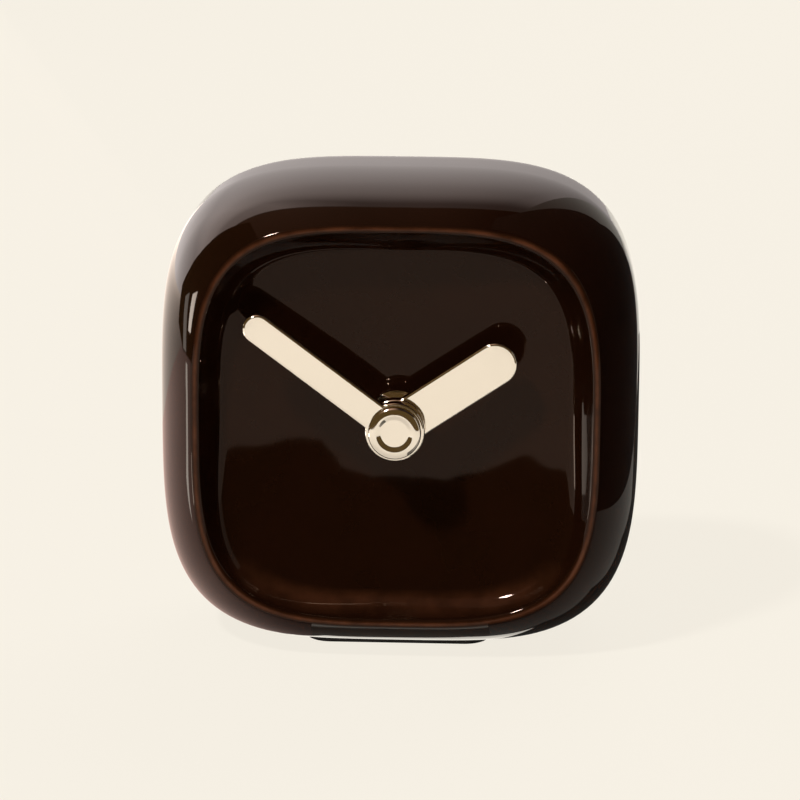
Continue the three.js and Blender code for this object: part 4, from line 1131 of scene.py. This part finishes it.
        # Lit white cloth behind the clock: brightest at middle height and on the left, where it is bright
        # down to the floor.
        material = self.lit_cloth("Lit cloth", linear("#f6ece8"), 1.0)
        tree = material.node_tree
        place = tree.nodes["Texture Coordinate"].outputs["Object"]
        across, _, height = add_node(tree, "ShaderNodeSeparateXYZ", {"Vector": place}).outputs
        middle, even, dimmed = 2.0, 0.3, 2.0
        off = add_node(tree, "ShaderNodeMath", {0: height, 1: middle}, operation="SUBTRACT").outputs["Value"]
        off = add_node(tree, "ShaderNodeMath", {0: off}, operation="ABSOLUTE").outputs["Value"]
        rise = add_node(
            tree,
            "ShaderNodeMapRange",
            {"Value": off, FROM_MIN: even, FROM_MAX: dimmed, TO_MIN: 2.65, TO_MAX: 0.85},
            interpolation_type="SMOOTHSTEP",
        )
        side = add_node(
            tree,
            "ShaderNodeMapRange",
            {"Value": across, FROM_MIN: -1.6, FROM_MAX: 0.6, TO_MIN: 1.7, TO_MAX: 0.6},
        )
        both = add_node(
            tree,
            "ShaderNodeMath",
            {0: rise.outputs["Result"], 1: side.outputs["Result"]},
            operation="MULTIPLY",
        )
        least = add_node(
            tree,
            "ShaderNodeMapRange",
            {"Value": across, FROM_MIN: -1.3, FROM_MAX: -0.1, TO_MIN: 3.2, TO_MAX: 0.5},
        )
        most = add_node(
            tree,
            "ShaderNodeMath",
            {0: both.outputs["Value"], 1: least.outputs["Result"]},
            operation="MAXIMUM",
        )
        tree.links.new(most.outputs["Value"], tree.nodes["Emission"].inputs["Strength"])
        return material

    def lit_cloth(self, name, tone, strength, fade=None):
        """Cloth that glows in its own tone. A fade is its axis, its start and end, and the last strength."""
        material, tree, _, place = finish(name, tone, Roughness=1.0)
        glow = add_node(tree, "ShaderNodeEmission", {"Color": (*tone, 1), "Strength": strength})
        tree.links.new(glow.outputs["Emission"], tree.nodes["Material Output"].inputs["Surface"])
        if fade:
            axis, start, end, last = fade
            along = add_node(tree, "ShaderNodeSeparateXYZ", {"Vector": place}).outputs[axis]
            fall = add_node(
                tree,
                "ShaderNodeMapRange",
                {"Value": along, FROM_MIN: start, FROM_MAX: end, TO_MIN: strength, TO_MAX: last},
                interpolation_type="SMOOTHSTEP",
            )
            tree.links.new(fall.outputs["Result"], glow.inputs["Strength"])
        return material

    def lamp(self, name, towards, distance, size, power):
        """A square soft lamp, this far from the clock's middle in that direction."""
        light = bpy.data.lights.new(name, "AREA")
        light.shape = "SQUARE"
        light.size = size
        light.energy = power
        lamp = bpy.data.objects.new(name, light)
        aim = Vector((0, 0, DIAL_AXIS.z))
        away = Vector(towards).normalized()
        lamp.location = aim + distance * away
        lamp.rotation_euler = away.to_track_quat("Z", "Y").to_euler()
        lamp.visible_camera = False
        bpy.context.scene.collection.objects.link(lamp)
        return lamp

    def lamps(self, floor):
        self.lamp("key", towards=(-0.4, -0.485, 0.777), distance=1.9, size=0.16, power=33)
        # Two large soft lamps behind, which light the back and reach into the cavity. The glaze mirrors the
        # cloth there, not the lamps, and the low one is flagged off the floor, so that the paper stays even.
        high = self.lamp("rear_fill", towards=(0.3, 0.75, 0.62), distance=1.8, size=1.2, power=17)
        low = self.lamp("rear_low", towards=(-0.2, 0.94, 0.27), distance=1.6, size=0.7, power=20)
        high.visible_glossy = False
        low.visible_glossy = False
        spared = bpy.data.collections.new("spared")
        spared.objects.link(floor)
        spared.collection_objects[0].light_linking.link_state = "EXCLUDE"
        low.light_linking.receiver_collection = spared

    def camera(self, scene):
        stage = scene.clock_stage
        camera = bpy.data.objects.new("camera", bpy.data.cameras.new("camera"))
        scene.collection.objects.link(camera)
        scene.camera = camera
        camera.data.sensor_width = SENSOR
        camera.data.lens = stage.focal * SENSOR / PICTURE
        camera.data.shift_x = (PICTURE / 2 - stage.middle[0]) / PICTURE
        camera.data.shift_y = (stage.middle[1] - PICTURE / 2) / PICTURE
        camera.data.clip_start = 0.01
        level = math.cos(stage.elevation)
        back = Vector(
            (math.sin(stage.azimuth) * level, -math.cos(stage.azimuth) * level, math.sin(stage.elevation))
        )
        right = Vector((0, 0, 1)).cross(back).normalized()
        up = back.cross(right)
        c, s = math.cos(stage.roll), math.sin(stage.roll)
        axes = Matrix((c * right - s * up, s * right + c * up, back)).transposed()
        middle = Vector((0, (shell_low.y + shell_high.y) / 2, DIAL_AXIS.z))
        camera.matrix_world = Matrix.Translation(middle + stage.distance * back) @ axes.to_4x4()


class CLOCK_PT_panel(bpy.types.Panel):
    """Lists the clock's pieces and their sizes and colours"""

    bl_idname = "CLOCK_PT_panel"
    bl_label = "Desk clock"
    bl_space_type = "VIEW_3D"
    bl_region_type = "UI"
    bl_category = "Clock"

    def draw(self, context):
        for operator in OPERATORS:
            self.layout.operator(operator.bl_idname)
        for name, group in GROUPS.items():
            box = self.layout.box()
            for field in group.__annotations__:
                box.prop(getattr(context.scene, name), field)


OPERATORS = (
    CLOCK_OT_shell,
    CLOCK_OT_foot_pad,
    CLOCK_OT_hands,
    CLOCK_OT_housing,
    CLOCK_OT_knob,
    CLOCK_OT_works,
    CLOCK_OT_cell,
    CLOCK_OT_stage,
)
GROUPS = {
    "clock_shell": ClockShell,
    "clock_hands": ClockHands,
    "clock_colours": ClockColours,
    "clock_stage": ClockStage,
}


def register():
    for cls in (*GROUPS.values(), *OPERATORS, CLOCK_PT_panel):
        bpy.utils.register_class(cls)
    for name, group in GROUPS.items():
        setattr(bpy.types.Scene, name, PointerProperty(type=group))


def unregister():
    for name in GROUPS:
        delattr(bpy.types.Scene, name)
    for cls in reversed((*GROUPS.values(), *OPERATORS, CLOCK_PT_panel)):
        bpy.utils.unregister_class(cls)


def main():
    register()
    bpy.ops.clock.shell()
    bpy.ops.clock.foot_pad()
    bpy.ops.clock.hands()
    bpy.ops.clock.housing()
    bpy.ops.clock.knob()
    bpy.ops.clock.works()
    bpy.ops.clock.cell()
    bpy.ops.clock.stage()


if __name__ == "__main__":
    main()
